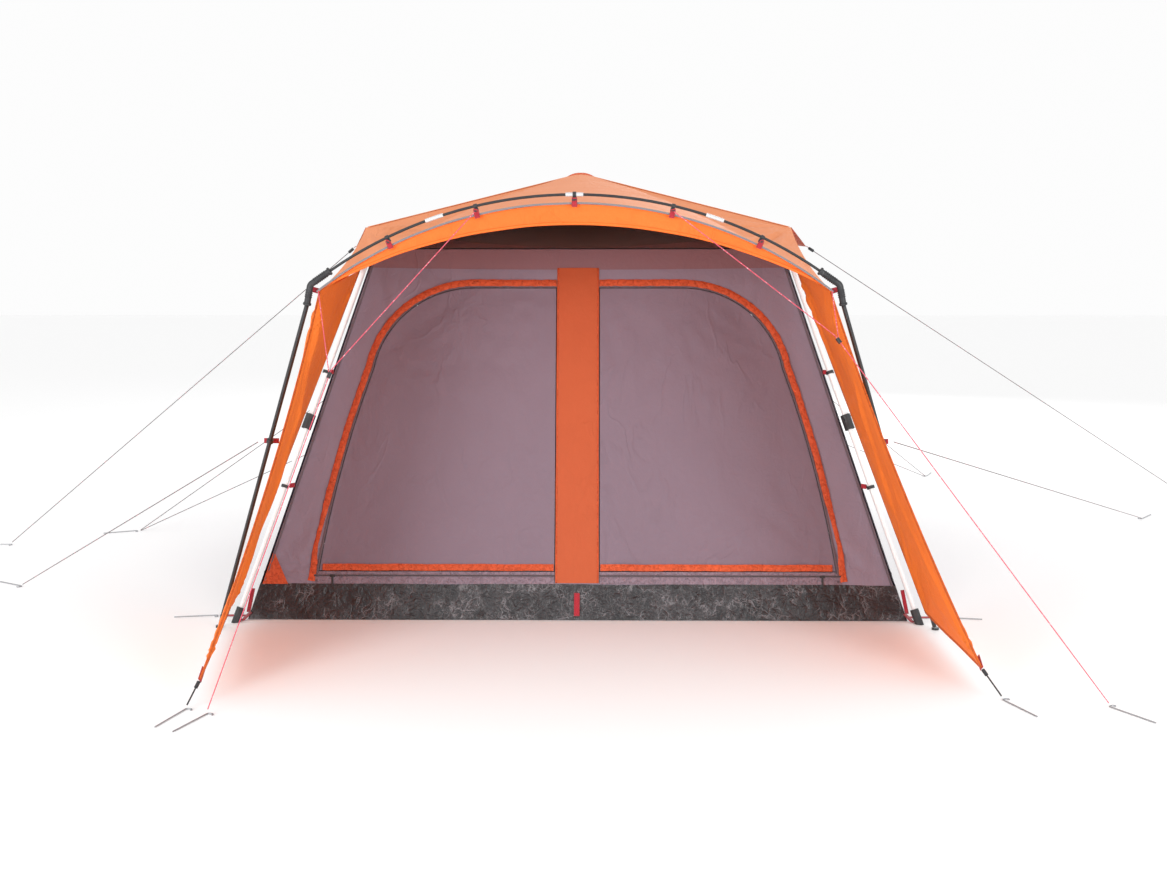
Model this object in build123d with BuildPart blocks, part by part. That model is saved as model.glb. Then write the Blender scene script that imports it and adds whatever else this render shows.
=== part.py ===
"""Instant-frame cabin tent with a porch, made as separate pieces, in millimetres.

+Z is up and the porch faces -Y. The origin is the centre of the groundsheet's underside.
"""

from build123d import *
import os
from math import asin, atan, cos, degrees, hypot, pi, radians, sin, sqrt

os.makedirs("parts", exist_ok=True)

# ---------------------------------------------------------------- driving dimensions
FLOOR = 3000  # side of the square groundsheet
LEAN = 0.31  # how far the walls lean in, per unit of height
TUB_HIGH = 150  # upstand of the groundsheet's tub
CLOTH = 3  # thickness of the cloth solids
SEAM = 0.5  # space between neighbouring cloth solids
WALL_TOP = 1680
EAVE = 1010  # half the width of the roof at its eaves
EAVE_Z = 1785
PEAK_Z = 2115
PORCH_Y = -1985  # front edge of the porch roof
ARCH_Y = -2005  # plane of the porch arch
ARCH_R = 1740  # radius of the porch arch
ARCH_TOP = 1874
ARCH_HALF = 1003  # half the width of the canopy's hem
HEM_DROP = 33  # canopy edge below the arch pole
LEG_FOOT = 1543  # leg axis at the ground, on both x and y
LEG_LEAN = 0.3284
KNEE_Z = 1752
UPPER_R, UPPER_BORE, LOWER_R = 12.5, 11.0, 10.5
LOCK_Z = 880
POLE_R = 9
HUB_R = 70
HUB_Z = 2066
PORCH_LEG_R = 9
ARCH_POLE_R = 5.5
CORD_R = 2
STRIP_HALF = 100  # half the width of the strip between the doors
TRIM_W = 42
DOOR_GAP = 4
DOOR_LOW, DOOR_HIGH = 170, 1538
PEG_R = 2.5
PEG_LONG = 180

STRETCH = sqrt(1 + LEAN**2)  # length along a wall for each unit of height
HALF = FLOOR / 2
CORNERS = {"fl": (-1, -1), "fr": (1, -1), "rl": (-1, 1), "rr": (1, 1)}
SIDES = {"front": (0, -1), "right": (1, 0), "rear": (0, 1), "left": (-1, 0)}


def save(part, name):
    """Label a finished piece and write it as a STEP file."""
    part.label = name
    export_step(part, f"parts/{name}.step")


def rod(start, end, radius, bore=0.0):
    """A straight round bar, or a tube if it has a bore, from start to end."""
    start, end = Vector(*start), Vector(*end)
    with BuildPart() as bar:
        with BuildSketch(Plane(origin=start, z_dir=end - start)):
            Circle(radius)
            if bore:
                Circle(bore, mode=Mode.SUBTRACT)
        extrude(amount=(end - start).length)
    return bar.part


def slab(corners, push):
    """A flat polygon in space, thickened by the vector push."""
    face = Face(Wire.make_polygon([Vector(*c) for c in corners]))
    return Solid.extrude(face, Vector(*push))


def group(solids, name):
    """Write several separate solids as one node."""
    with BuildPart() as node:
        for solid in solids:
            add(solid)
    save(node.part, name)
    return node.part


def mirrored(point):
    return (-point[0], point[1], point[2])


# ---------------------------------------------------------------- groundsheet and walls
with BuildPart() as groundsheet:
    with BuildSketch(Plane.XY):
        Rectangle(FLOOR, FLOOR)
    extrude(amount=TUB_HIGH, taper=degrees(atan(LEAN)))
    inner = FLOOR - 2 * CLOTH * (LEAN + STRETCH)
    with BuildSketch(Plane.XY.offset(CLOTH)):
        Rectangle(inner, inner)
    extrude(amount=TUB_HIGH, taper=degrees(atan(LEAN)), mode=Mode.SUBTRACT)
save(groundsheet.part, "groundsheet")


def wall_plane(side):
    """A wall's outer face: x runs along the wall, y up it, from the ground line."""
    out_x, out_y = SIDES[side]
    return Plane(origin=(HALF * out_x, HALF * out_y, 0), x_dir=(-out_y, out_x, 0),
                 z_dir=(out_x, out_y, LEAN))


def wall_half_width(z):
    """Half of a wall's width at height z, with room for the leg outside its corner."""
    return HALF - LEAN * z - 8


def wall_sheet(side):
    """A whole wall panel from the top of the tub to the ceiling seam."""
    low, high = TUB_HIGH + 3 * SEAM, WALL_TOP
    with BuildPart() as sheet:
        with BuildSketch(wall_plane(side)):
            with BuildLine():
                Polyline((-wall_half_width(low), low * STRETCH), (wall_half_width(low), low * STRETCH),
                         (wall_half_width(high), high * STRETCH),
                         (-wall_half_width(high), high * STRETCH), close=True)
            make_face()
        extrude(amount=-CLOTH)
    return sheet.part


def door_outline(inset):
    """The right-hand door's outline on the front wall, drawn in by inset."""
    low, high = DOOR_LOW * STRETCH, DOOR_HIGH * STRETCH
    hinge = STRIP_HALF - TRIM_W
    with BuildSketch() as outline:
        with BuildLine():
            top = Line((hinge, high), (490, high))
            shoulder = ThreePointArc(top @ 1, (820, 1430 * STRETCH), (1005, 1130 * STRETCH))
            edge = ThreePointArc(shoulder @ 1, (1118, 760 * STRETCH), (1235, low))
            Polyline(edge @ 1, (hinge, low), top @ 0)
        make_face()
        if inset:
            offset(amount=-inset)
    return outline.sketch


def on_front(sketch, near, far, left=False):
    """Stand a flat sketch on the front wall, between two heights off its outer face."""
    with BuildPart() as piece:
        with BuildSketch(wall_plane("front").offset(near)):
            add(mirror(sketch, about=Plane.YZ) if left else sketch)
        extrude(amount=far - near)
    return piece.part


door_hole = door_outline(TRIM_W)
with BuildPart() as front_wall:
    add(wall_sheet("front"))
    for left in (False, True):
        add(on_front(door_hole, 1, -CLOTH - 1, left), mode=Mode.SUBTRACT)
save(front_wall.part, "front_wall")
save(wall_sheet("rear"), "rear_wall")

group([wall_sheet("left"), wall_sheet("right")], "side_walls")

with BuildSketch() as trim_band:
    add(door_outline(0))
    add(door_hole, mode=Mode.SUBTRACT)
    with BuildLine():
        Polyline((0, 0), (STRIP_HALF + 1, 0), (STRIP_HALF + 1, 2000), (0, 2000), close=True)
    make_face(mode=Mode.SUBTRACT)
group([on_front(trim_band.sketch, SEAM, 2, left) for left in (False, True)], "door_trims")
save(on_front(door_outline(TRIM_W + DOOR_GAP), 0, -CLOTH), "door_right")
save(on_front(door_outline(TRIM_W + DOOR_GAP), 0, -CLOTH, True), "door_left")

with BuildSketch() as strip_face:
    strip_low, strip_high = (TUB_HIGH + 10) * STRETCH, 1600 * STRETCH
    with BuildLine():
        Polyline((-STRIP_HALF, strip_low), (STRIP_HALF, strip_low), (STRIP_HALF, strip_high),
                 (-STRIP_HALF, strip_high), close=True)
    make_face()
save(on_front(strip_face.sketch, SEAM, 2), "door_strip")

# Mesh windows on the two side walls, under the side awnings.
windows = []
for side in ("left", "right"):
    with BuildPart() as window:
        with BuildSketch(wall_plane(side).offset(SEAM)):
            with Locations((0, 1180 * STRETCH)):
                RectangleRounded(1300, 620, 90)
        extrude(amount=1.5)
    windows.append(window.part)
group(windows, "side_windows")

# The mesh ceiling: four sloping faces over the walls' top edge.
ceiling_half, ceiling_low, ceiling_top = wall_half_width(WALL_TOP) - 2, WALL_TOP + SEAM, 1985
ceiling_faces = []
for out_x, out_y in SIDES.values():
    edge = [(ceiling_half * (out_x - k * out_y), ceiling_half * (out_y + k * out_x), ceiling_low)
            for k in (-1, 1)]
    ceiling_faces.append(slab([*edge, (0, 0, ceiling_top)], (0, 0, CLOTH)))
group(ceiling_faces, "inner_ceiling")

# ---------------------------------------------------------------- zip sliders
zip_height = (DOOR_LOW + 20) * STRETCH
zip_x = 1120
for name, sign in (("left", -1), ("right", 1)):
    with BuildPart() as zip_slider:
        with BuildSketch(wall_plane("front").offset(2.5)):
            with Locations((sign * zip_x, zip_height)):
                RectangleRounded(24, 12, 4)
        extrude(amount=5)
        with BuildSketch(wall_plane("front").offset(3.5)):
            with Locations((sign * zip_x, zip_height - 26)):
                RectangleRounded(9, 44, 4)
        extrude(amount=3)
    save(zip_slider.part, f"zip_slider_{name}")


# ---------------------------------------------------------------- canopy
def arc_z(x, radius, top):
    """Height at x of an arc with that radius, whose top is over x = 0."""
    return top - radius + sqrt(radius**2 - x**2)


HEM_TOP = ARCH_TOP - HEM_DROP
HEM_R = ARCH_R - HEM_DROP
ARC_STEPS = 12
PEAK = (0, 0, PEAK_Z)
KNEE = {key: (EAVE * sx, EAVE * sy, EAVE_Z) for key, (sx, sy) in CORNERS.items()}
hem = [(x, PORCH_Y, arc_z(x, HEM_R, HEM_TOP))
       for x in [-ARCH_HALF + 2 * ARCH_HALF * i / ARC_STEPS for i in range(ARC_STEPS + 1)]]
down = (0, 0, -CLOTH - 2)
gores = [slab([PEAK, a, b], down) for a, b in zip(hem, hem[1:])]
gores += [slab([PEAK, KNEE[a], KNEE[b]], down) for a, b in (("fl", "rl"), ("rl", "rr"), ("rr", "fr"))]
gores += [slab([PEAK, KNEE["fl"], hem[0]], down), slab([PEAK, KNEE["fr"], hem[-1]], down)]
group(gores, "canopy")

# Panels that hang from the canopy's edge: porch cheeks, and skirts at the sides and rear.
SKIRT_LOW = 1690
edge_z = EAVE_Z - CLOTH - 2 - SEAM
cheeks = []
for sx in (-1, 1):
    knee, porch_end = (sx * EAVE, -EAVE, edge_z), (sx * ARCH_HALF, PORCH_Y + 2, hem[0][2] - 6)
    cheeks.append(slab([knee, (sx * (EAVE + 50), -EAVE, 1600), porch_end], (sx * CLOTH, 0, 0)))
skirts = [slab([(sx * EAVE, -EAVE + 5, edge_z), (sx * EAVE, EAVE - 5, edge_z),
                (sx * (EAVE + 15), EAVE - 5, SKIRT_LOW), (sx * (EAVE + 15), -EAVE + 5, SKIRT_LOW)],
               (sx * CLOTH, 0, 0)) for sx in (-1, 1)]
skirts.append(slab([(-EAVE + 5, EAVE, edge_z), (EAVE - 5, EAVE, edge_z),
                    (EAVE - 5, EAVE + 15, SKIRT_LOW), (-EAVE + 5, EAVE + 15, SKIRT_LOW)], (0, CLOTH, 0)))
group(cheeks + skirts, "canopy_skirts")

# Side awnings: pointed flaps that carry the roof's slope out over the side windows.
AWNING_TIP = (1252, 0, 1712)
awnings = [slab([(sx * (EAVE + SEAM), -EAVE, EAVE_Z), (sx * (EAVE + SEAM), EAVE, EAVE_Z),
                 (sx * AWNING_TIP[0], AWNING_TIP[1], AWNING_TIP[2])], (0, 0, -CLOTH)) for sx in (-1, 1)]
group(awnings, "side_awnings")

# The front valance hangs below the canopy's piped hem, deepest over the doors.
VALANCE_R, VALANCE_LOW = 2164, 1756
valance_half = 960
valance_y = PORCH_Y + 8
with BuildPart() as valance:
    with BuildSketch(Plane(origin=(0, valance_y, 0), x_dir=(1, 0, 0), z_dir=(0, -1, 0))):
        with BuildLine():
            top_end = (valance_half, arc_z(valance_half, HEM_R, HEM_TOP) - 14)
            low_end = (valance_half, arc_z(valance_half, VALANCE_R, VALANCE_LOW))
            upper = ThreePointArc((-top_end[0], top_end[1]), (0, HEM_TOP - 14), top_end)
            Line(top_end, low_end)
            ThreePointArc(low_end, (0, VALANCE_LOW), (-low_end[0], low_end[1]))
            Line((-low_end[0], low_end[1]), upper @ 0)
        make_face()
    extrude(amount=-1.5)
save(valance.part, "valance")


def arch_bar(x_from, x_to, radius, drop, y, bore=0.0):
    """A round bar bent to the arch's curve between two x values, drop below the pole's axis."""
    bend = ARCH_R - drop
    centre = Vector(0, y, ARCH_TOP - ARCH_R)
    start, end = asin(x_from / bend), asin(x_to / bend)
    at = centre + Vector(bend * sin(start), 0, bend * cos(start))
    with BuildPart() as bar:
        with BuildSketch(Plane(origin=at, z_dir=(cos(start), 0, -sin(start)))):
            Circle(radius)
            if bore:
                Circle(bore, mode=Mode.SUBTRACT)
        revolve(axis=Axis(centre, (0, 1, 0)), revolution_arc=degrees(end - start))
    return bar.part


PIPING_R = 4
save(arch_bar(-ARCH_HALF + 3, ARCH_HALF - 3, PIPING_R, HEM_DROP, PORCH_Y - PIPING_R - SEAM), "canopy_piping")

# ---------------------------------------------------------------- porch arch, elbows and legs
JOINTS_X = (-556, 0, 556)
FERRULE = 35  # half the length of a ferrule
ARCH_END = 975
cuts = [-ARCH_END, *JOINTS_X, ARCH_END]
group([arch_bar(a + 1, b - 1, ARCH_POLE_R, 0, ARCH_Y) for a, b in zip(cuts, cuts[1:])], "arch_poles")
group([arch_bar(x - FERRULE, x + FERRULE, 8, 0, ARCH_Y, ARCH_POLE_R + 0.1) for x in JOINTS_X],
      "arch_ferrules")

ELBOW = (1056, ARCH_Y, 1520)
ELBOW_LEG = (1075, -1990, 1440)
PORCH_FOOT = (1592, -1628, 0)
ARM_R = 13
arm_end = (ARCH_END + 2, ARCH_Y, arc_z(ARCH_END + 2, ARCH_R, ARCH_TOP))
elbows, porch_legs = [], []
for flip in (lambda p: p, mirrored):
    top, bend, low = flip(arm_end), flip(ELBOW), flip(ELBOW_LEG)
    with BuildPart() as elbow:
        with BuildLine() as spine:
            FilletPolyline(top, bend, low, radius=24)
        with BuildSketch(Plane(origin=spine.line @ 0, z_dir=spine.line % 0)):
            Circle(ARM_R)
        sweep()
    elbows.append(elbow.part)
    foot = Vector(*flip(PORCH_FOOT))
    low = Vector(*low)
    slope = (foot - low).normalized()
    porch_legs.append(rod(low + slope * 4, foot - slope * 16, PORCH_LEG_R, PORCH_LEG_R - 1.5))
group(elbows, "porch_elbows")
# Each leg stands in a flat rubber foot.
for sx in (-1, 1):
    base = Vector(sx * PORCH_FOOT[0], PORCH_FOOT[1], 0)
    porch_legs.append(rod(base, base + Vector(0, 0, 9), 16))
group(porch_legs, "porch_legs")

# Hooks that hold the canopy's hem under the arch, each with a short tab for its webbing.
HOOKS_X = (-745, -392, 0, 392, 745)
hooks = []
for x in HOOKS_X:
    lean = degrees(asin(x / ARCH_R))
    middle = Vector(x, ARCH_Y, arc_z(x, ARCH_R, ARCH_TOP))
    along = Vector(cos(radians(lean)), 0, -sin(radians(lean)))
    grip = 8.4 if x == 0 else ARCH_POLE_R + 0.3  # the middle hook grips the ferrule
    ring = rod(middle - along * 7, middle + along * 7, grip + 3, grip)
    drop = Vector(along.Z, 0, -along.X)
    tab_top = middle + drop * (grip + 2)
    tab = slab([tab_top - along * 9, tab_top + along * 9, tab_top + along * 9 + drop * 12,
                tab_top - along * 9 + drop * 15], (0, 3, 0))
    hooks.append(ring + tab)
group(hooks, "arch_hooks")


# ---------------------------------------------------------------- wings
def wing(top, elbow_end, foot, tip, outward):
    """Two joined triangles of cloth, from the leg to the porch leg and on to the tip."""
    push = (outward * CLOTH, 0, 0)
    return slab([foot, top, elbow_end], push) + slab([foot, elbow_end, tip], push)


WING_TOP = (1034, -1085, 1580)
WING_ELBOW = (1030, -1968, 1490)
WING_FOOT = (1556, -1606, 70)
TIP_LEFT = (-1372, -2590, 80)
TIP_RIGHT = (1542, -2450, 90)
group([wing(WING_TOP, WING_ELBOW, WING_FOOT, TIP_RIGHT, -1)], "wing_right")
group([wing(mirrored(WING_TOP), mirrored(WING_ELBOW), mirrored(WING_FOOT), TIP_LEFT, 1)], "wing_left")


# ---------------------------------------------------------------- legs, locks and knuckles
def leg_at(sx, sy, z):
    """The point of a leg's axis at height z."""
    reach = LEG_FOOT - LEG_LEAN * z
    return Vector(sx * reach, sy * reach, z)


def leg_dir(sx, sy):
    return Vector(-sx * LEG_LEAN, -sy * LEG_LEAN, 1).normalized()


COLLAR_R, COLLAR_HALF = 23, 36
BUTTON_R, BUTTON_OUT, BUTTON_LONG = 6, 27, 8
POCKET = 15
upper_legs, collars, knuckles, pins, hook_rings, straps = [], [], [], [], [], []
for key, (sx, sy) in CORNERS.items():
    up = leg_dir(sx, sy)
    across = Vector(-sx, sy, 0).normalized()
    lock = leg_at(sx, sy, LOCK_Z)
    upper_legs.append(rod(leg_at(sx, sy, LOCK_Z - 20), leg_at(sx, sy, KNEE_Z - 30), UPPER_R, UPPER_BORE))
    collar = rod(lock - up * COLLAR_HALF, lock + up * COLLAR_HALF, COLLAR_R, UPPER_R + 0.1)
    button_axis = lock + up * 14
    collars.append(collar - rod(button_axis + across * POCKET, button_axis + across * 40, BUTTON_R + 0.4))
    save(rod(button_axis + across * (BUTTON_OUT - BUTTON_LONG), button_axis + across * BUTTON_OUT, BUTTON_R),
         f"lock_button_{key}")
    save(rod(leg_at(sx, sy, 30), leg_at(sx, sy, 1060), LOWER_R, LOWER_R - 1.5), f"lower_leg_{key}")
    cup = rod(leg_at(sx, sy, -20), leg_at(sx, sy, 62), 19)
    cup = cup - rod(leg_at(sx, sy, 30), leg_at(sx, sy, 80), LOWER_R + 0.1)
    save(split(cup, bisect_by=Plane.XY, keep=Keep.TOP), f"foot_{key}")

    # The knuckle: a socket on the leg's top, and two ears that hold the roof pole's pin.
    inward = Vector(-sx, -sy, 0).normalized()
    pivot = leg_at(sx, sy, KNEE_Z)
    socket = rod(leg_at(sx, sy, KNEE_Z - 60), leg_at(sx, sy, KNEE_Z - 14), 16)
    socket = socket - rod(leg_at(sx, sy, KNEE_Z - 70), leg_at(sx, sy, KNEE_Z - 29.5), UPPER_R + 0.1)
    for offset_side in (-1, 1):
        near = pivot + across * offset_side * (POLE_R + 1) - Vector(0, 0, 22) - inward * 12
        ear = slab([near, near + inward * 24, near + inward * 24 + Vector(0, 0, 35), near + Vector(0, 0, 35)],
                   across * offset_side * 4)
        socket = socket + ear
    socket = socket - rod(pivot - across * 20, pivot + across * 20, 3.1)
    knuckles.append(socket)
    pins.append(rod(pivot - across * 16, pivot + across * 16, 3))

    # A roof pole with its hinge eye, from the knuckle to the hub's slot.
    rise = HUB_Z - KNEE_Z
    to_hub = (Vector(0, 0, HUB_Z) - pivot).normalized()
    run = hypot(pivot.X, pivot.Y)
    pole_end = pivot + to_hub * ((run - 55) / (run / hypot(run, rise)))
    pole = rod(pivot, pole_end, POLE_R) + rod(pivot - across * POLE_R, pivot + across * POLE_R, POLE_R + 0.8)
    pole = pole - rod(pivot - across * 20, pivot + across * 20, 3.1)
    save(pole, f"roof_pole_{key}")

    # Rings round the leg whose webbing holds the wall's corner seam.
    for z in (1105, 590):
        middle = leg_at(sx, sy, z)
        ring = rod(middle - up * 7, middle + up * 7, 18, UPPER_R + 0.5)
        wall_corner = Vector(sx * (HALF - LEAN * z), sy * (HALF - LEAN * z), z)
        tab_end = wall_corner + (middle - wall_corner).normalized() * 3
        tab_from = middle - (middle - wall_corner).normalized() * 15.5
        tab = slab([tab_from - up * 8, tab_end - up * 8, tab_end + up * 8, tab_from + up * 8], across * 2)
        hook_rings.append(ring + tab)

    # The webbing from the tub's corner, past the foot, to its peg ring.
    corner = Vector(sx * (HALF + 4), sy * (HALF - 60), 0)
    ring_at = Vector(sx * (HALF + 130), sy * (HALF - 60), 0)
    straps.append(slab([corner + Vector(0, -12, 1), corner + Vector(0, 12, 1),
                        ring_at + Vector(-sx * 12, 12, 1), ring_at + Vector(-sx * 12, -12, 1)], (0, 0, 2)))
group(upper_legs, "upper_legs")
group(collars, "lock_collars")
group(knuckles, "roof_knuckles")
group(pins, "knuckle_pins")

RING_HOLE = 6
rings = []
for sx, sy in CORNERS.values():
    place = Vector(sx * (HALF + 135), sy * (HALF - 60), 0)
    rings.append(rod(place + Vector(0, 0, 0.5), place + Vector(0, 0, 5.5), 12, RING_HOLE))
group(rings, "peg_rings")

# The hub: a disc with a slot for each roof pole, closed on top.
with BuildPart() as roof_hub:
    with BuildSketch(Plane.XY.offset(HUB_Z - 40)):
        Circle(HUB_R)
    extrude(amount=58)
    with BuildSketch(Plane.XY.offset(HUB_Z - 41)):
        for turn in (45, 135, 225, 315):
            with PolarLocations(HUB_R - 12, 1, start_angle=turn):
                Rectangle(104 - 24, 24)
    extrude(amount=53, mode=Mode.SUBTRACT)
save(roof_hub.part, "roof_hub")


# ---------------------------------------------------------------- pegs and guy lines
def peg(x, y, heading):
    """A round steel peg lying on the ground, its hook at x, y and its point along heading."""
    with BuildPart() as pin:
        with BuildLine(Plane(origin=(x, y, PEG_R), x_dir=(cos(radians(heading)), sin(radians(heading)), 0),
                             z_dir=(0, 0, 1))) as path:
            FilletPolyline((-2, 24, 0), (-14, 24, 0), (-14, 0, 0), (PEG_LONG, 0, 0), radius=8)
        with BuildSketch(Plane(origin=path.line @ 0, z_dir=path.line % 0)):
            Circle(PEG_R)
        sweep()
    return pin.part


FRONT_PEG = {-1: (-1306, -2738), 1: (1962, -2631)}
UPPER_PEG = {-1: (-3325, 60), 1: (4300, 1900)}
MID_PEG = {-1: (-2817, -905), 1: (3600, 900)}
REAR_PEG = {-1: (-2738, 449), 1: (2663, 2593)}
TIP_PEG = {-1: (-1398, -2690), 1: (1596, -2560)}
PEG_HEADING = {FRONT_PEG[-1]: 250, FRONT_PEG[1]: 300, UPPER_PEG[-1]: 185, UPPER_PEG[1]: 30,
               MID_PEG[-1]: 150, MID_PEG[1]: 50, REAR_PEG[-1]: 205, REAR_PEG[1]: 65,
               TIP_PEG[-1]: 255, TIP_PEG[1]: 290}
pegs = [peg(x, y, heading) for (x, y), heading in PEG_HEADING.items()]
pegs += [peg(sx * (HALF + 170), sy * (HALF - 60), 90 - 100 * sx) for sx, sy in CORNERS.values()]
group(pegs, "pegs")

# Guy lines are taut. A line's points are chosen by hand, and only its turns are rounded.
JUNCTION = {-1: (-943, -2185, 1193), 1: (1024, -2108, 1322)}
ARCH_CLIP = (392, ARCH_Y - 12, 1808)
ELBOW_CLIP = (1022, ARCH_Y - 14, 1500)
PORCH_CLIP = (1325, -1829, 868)


def toward(start, end, distance):
    start, end = Vector(*start), Vector(*end)
    return start + (end - start).normalized() * distance


def cord(name, points, radii=()):
    """A taut line through the points, its turns rounded to the radii, with its length printed."""
    with BuildPart() as line:
        with BuildLine() as route:
            if radii:
                FilletPolyline(*points, radius=list(radii))
            else:
                Line(*points)
        with BuildSketch(Plane(origin=route.line @ 0, z_dir=route.line % 0)):
            Circle(CORD_R)
        sweep()
    long = sum(edge.length for edge in route.edges())
    expected = long * pi * CORD_R**2
    print(f"{name}: {long:.0f} mm, radii {list(radii)}, "
          f"volume {line.part.volume:.0f} of {expected:.0f} mm3")
    save(line.part, name)


fittings = []
for sx, name in ((-1, "left"), (1, "right")):
    place = Vector(*JUNCTION[sx])
    arch_clip, elbow_clip, porch_clip = ((sx * x, y, z) for x, y, z in (ARCH_CLIP, ELBOW_CLIP, PORCH_CLIP))
    ground = (*FRONT_PEG[sx], PEG_R)
    cord(f"front_guy_{name}", [toward(arch_clip, place, 4), place, toward(ground, place, 18)], [40])
    # The plate that the front line runs through, where the elbow's short line joins it.
    fittings.append(rod(toward(place, ground, 12), toward(place, ground, 34), 8, CORD_R + 0.4))
    joint = toward(place, ground, 23)
    cord(f"elbow_line_{name}", [toward(elbow_clip, joint, 4), toward(joint, elbow_clip, 14)])

    tip = (sx * (AWNING_TIP[0] + 12), 0, AWNING_TIP[2] - 6)
    ground = (*UPPER_PEG[sx], PEG_R)
    cord(f"side_guy_{name}", [toward(tip, ground, 40), toward(ground, tip, 18)])
    fittings.append(rod(toward(tip, ground, 6), toward(tip, ground, 39), 8))

    ground = (*MID_PEG[sx], PEG_R)
    cord(f"porch_guy_{name}", [toward(porch_clip, ground, 18), toward(ground, porch_clip, 20)])

    # One line from the rear leg's upper hook, round the peg, and back to its lower hook.
    high, low = leg_at(sx, 1, 1105), leg_at(sx, 1, 590)
    ground = Vector(*REAR_PEG[sx], PEG_R)
    back = (Vector(high.X, high.Y, 0) - Vector(ground.X, ground.Y, 0)).normalized()
    beside = Vector(-back.Y, back.X, 0) * 8
    near = ground + back * 34
    cord(f"rear_guy_{name}", [toward(high, near + beside, 30), near + beside, near - beside,
                              toward(low, near - beside, 30)], [7, 7])

    wing_tip = TIP_LEFT if sx < 0 else TIP_RIGHT
    ground = (*TIP_PEG[sx], PEG_R)
    fittings.append(rod(toward(wing_tip, ground, 8), toward(wing_tip, ground, 34), 7))
    fittings.append(rod(toward(wing_tip, ground, 34.5), toward(ground, wing_tip, 20), 3))
group(fittings, "guy_fittings")

# Clips half way up the porch legs, where the wings and the porch guy lines are tied.
for flip in (lambda p: p, mirrored):
    foot, low = Vector(*flip(PORCH_FOOT)), Vector(*flip(ELBOW_LEG))
    slope = (low - foot).normalized()
    middle = foot + slope * (PORCH_CLIP[2] / slope.Z)
    hook_rings.append(rod(middle - slope * 8, middle + slope * 8, 14, PORCH_LEG_R + 0.2))
group(hook_rings, "leg_hooks")

# The red pull tab on the front of the tub.
with BuildPart() as tub_tab:
    with BuildSketch(wall_plane("front").offset(SEAM)):
        with Locations((0, 70 * STRETCH)):
            Rectangle(24, 100)
    extrude(amount=2)
group(straps + [tub_tab.part], "ground_straps")
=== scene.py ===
"""The cabin tent's looks: cloth, mesh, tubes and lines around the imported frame. Metres, +Z up."""

import math

import bpy
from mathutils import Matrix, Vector, geometry, noise


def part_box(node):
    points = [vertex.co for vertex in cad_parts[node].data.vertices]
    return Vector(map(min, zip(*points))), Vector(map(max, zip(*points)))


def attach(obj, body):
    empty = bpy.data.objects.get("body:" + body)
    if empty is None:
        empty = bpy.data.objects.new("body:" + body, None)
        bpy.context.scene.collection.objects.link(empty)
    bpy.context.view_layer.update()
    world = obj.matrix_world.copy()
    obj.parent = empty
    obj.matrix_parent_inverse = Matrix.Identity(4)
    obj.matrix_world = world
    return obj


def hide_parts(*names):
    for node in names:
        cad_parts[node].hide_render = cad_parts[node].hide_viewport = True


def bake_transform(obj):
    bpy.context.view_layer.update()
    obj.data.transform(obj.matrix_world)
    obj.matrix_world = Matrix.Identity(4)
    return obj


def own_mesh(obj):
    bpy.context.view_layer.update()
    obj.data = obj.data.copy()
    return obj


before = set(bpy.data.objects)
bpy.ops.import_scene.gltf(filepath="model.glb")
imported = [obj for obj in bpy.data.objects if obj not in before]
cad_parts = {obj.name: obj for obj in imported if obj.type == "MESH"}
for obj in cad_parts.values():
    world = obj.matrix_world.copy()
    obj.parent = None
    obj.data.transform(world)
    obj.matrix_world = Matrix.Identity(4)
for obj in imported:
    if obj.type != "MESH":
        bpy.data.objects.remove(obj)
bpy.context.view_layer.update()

# ------------ sizes, from the frame
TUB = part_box("groundsheet")
HALF = TUB[1][0]
TUB_TOP = TUB[1][2]
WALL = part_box("front_wall")
WALL_TOP = WALL[1][2]
LEAN = (HALF + WALL[1][1]) / WALL_TOP
STRETCH = math.sqrt(1 + LEAN**2)
EAVE = -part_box("side_awnings")[0][1]
EAVE_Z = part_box("side_awnings")[1][2]
AWNING_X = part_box("side_awnings")[1][0]
AWNING_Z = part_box("side_awnings")[0][2] + 0.003
PEAK_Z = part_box("canopy")[1][2]
PORCH_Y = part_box("canopy")[0][1]
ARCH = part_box("arch_poles")
ARCH_Y = (ARCH[0][1] + ARCH[1][1]) / 2
ARCH_TOP = ARCH[1][2] - 0.0055
ARCH_R = 1.740
HEM_DROP = 0.033
HEM_R = ARCH_R - HEM_DROP
HEM_TOP = ARCH_TOP - HEM_DROP
SKIRT_LOW = 1.690
VALANCE_R = 2.164
VALANCE_LOW = 1.756
VALANCE_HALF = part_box("valance")[1][0]
STRIP_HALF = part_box("door_strip")[1][0]
CORNER_X = 1.034  # the porch roof's front corners, beside the elbows
TRIM_W = 0.042
HEADER_LOW = 1.592
DOOR_GAP = 0.004
DOOR_LOW, DOOR_HIGH = 0.170, 1.538
HOOKS_X = (-0.745, -0.392, 0, 0.392, 0.745)
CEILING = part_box("inner_ceiling")
CORNERS = {"fl": (-1, -1), "fr": (1, -1), "rl": (-1, 1), "rr": (1, 1)}
LEG_FOOT, LEG_LEAN = 1.543, 0.3284
CORD = 0.004
PEG_R = 0.0025
WEBBING = 0.0018  # thickness of the red tape
WALL_MID = -0.0015  # a wall's cloth lies in the middle of its solid
UP = Vector((0, 0, 1))


# ------------ camera, light and floor
link = bpy.context.scene.collection.objects.link


def make_camera():
    """Stands in front of the porch at eye height, a little right of the middle, looking slightly down."""
    data = bpy.data.cameras.new("camera")
    data.lens = 38.36
    data.sensor_width = 36
    camera = bpy.data.objects.new("camera", data)
    camera.location = (0.089, -7.0, 1.565)
    camera.rotation_euler = (math.radians(90 - 7.519), 0, math.radians(0.608))
    link(camera)
    bpy.context.scene.camera = camera


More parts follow.
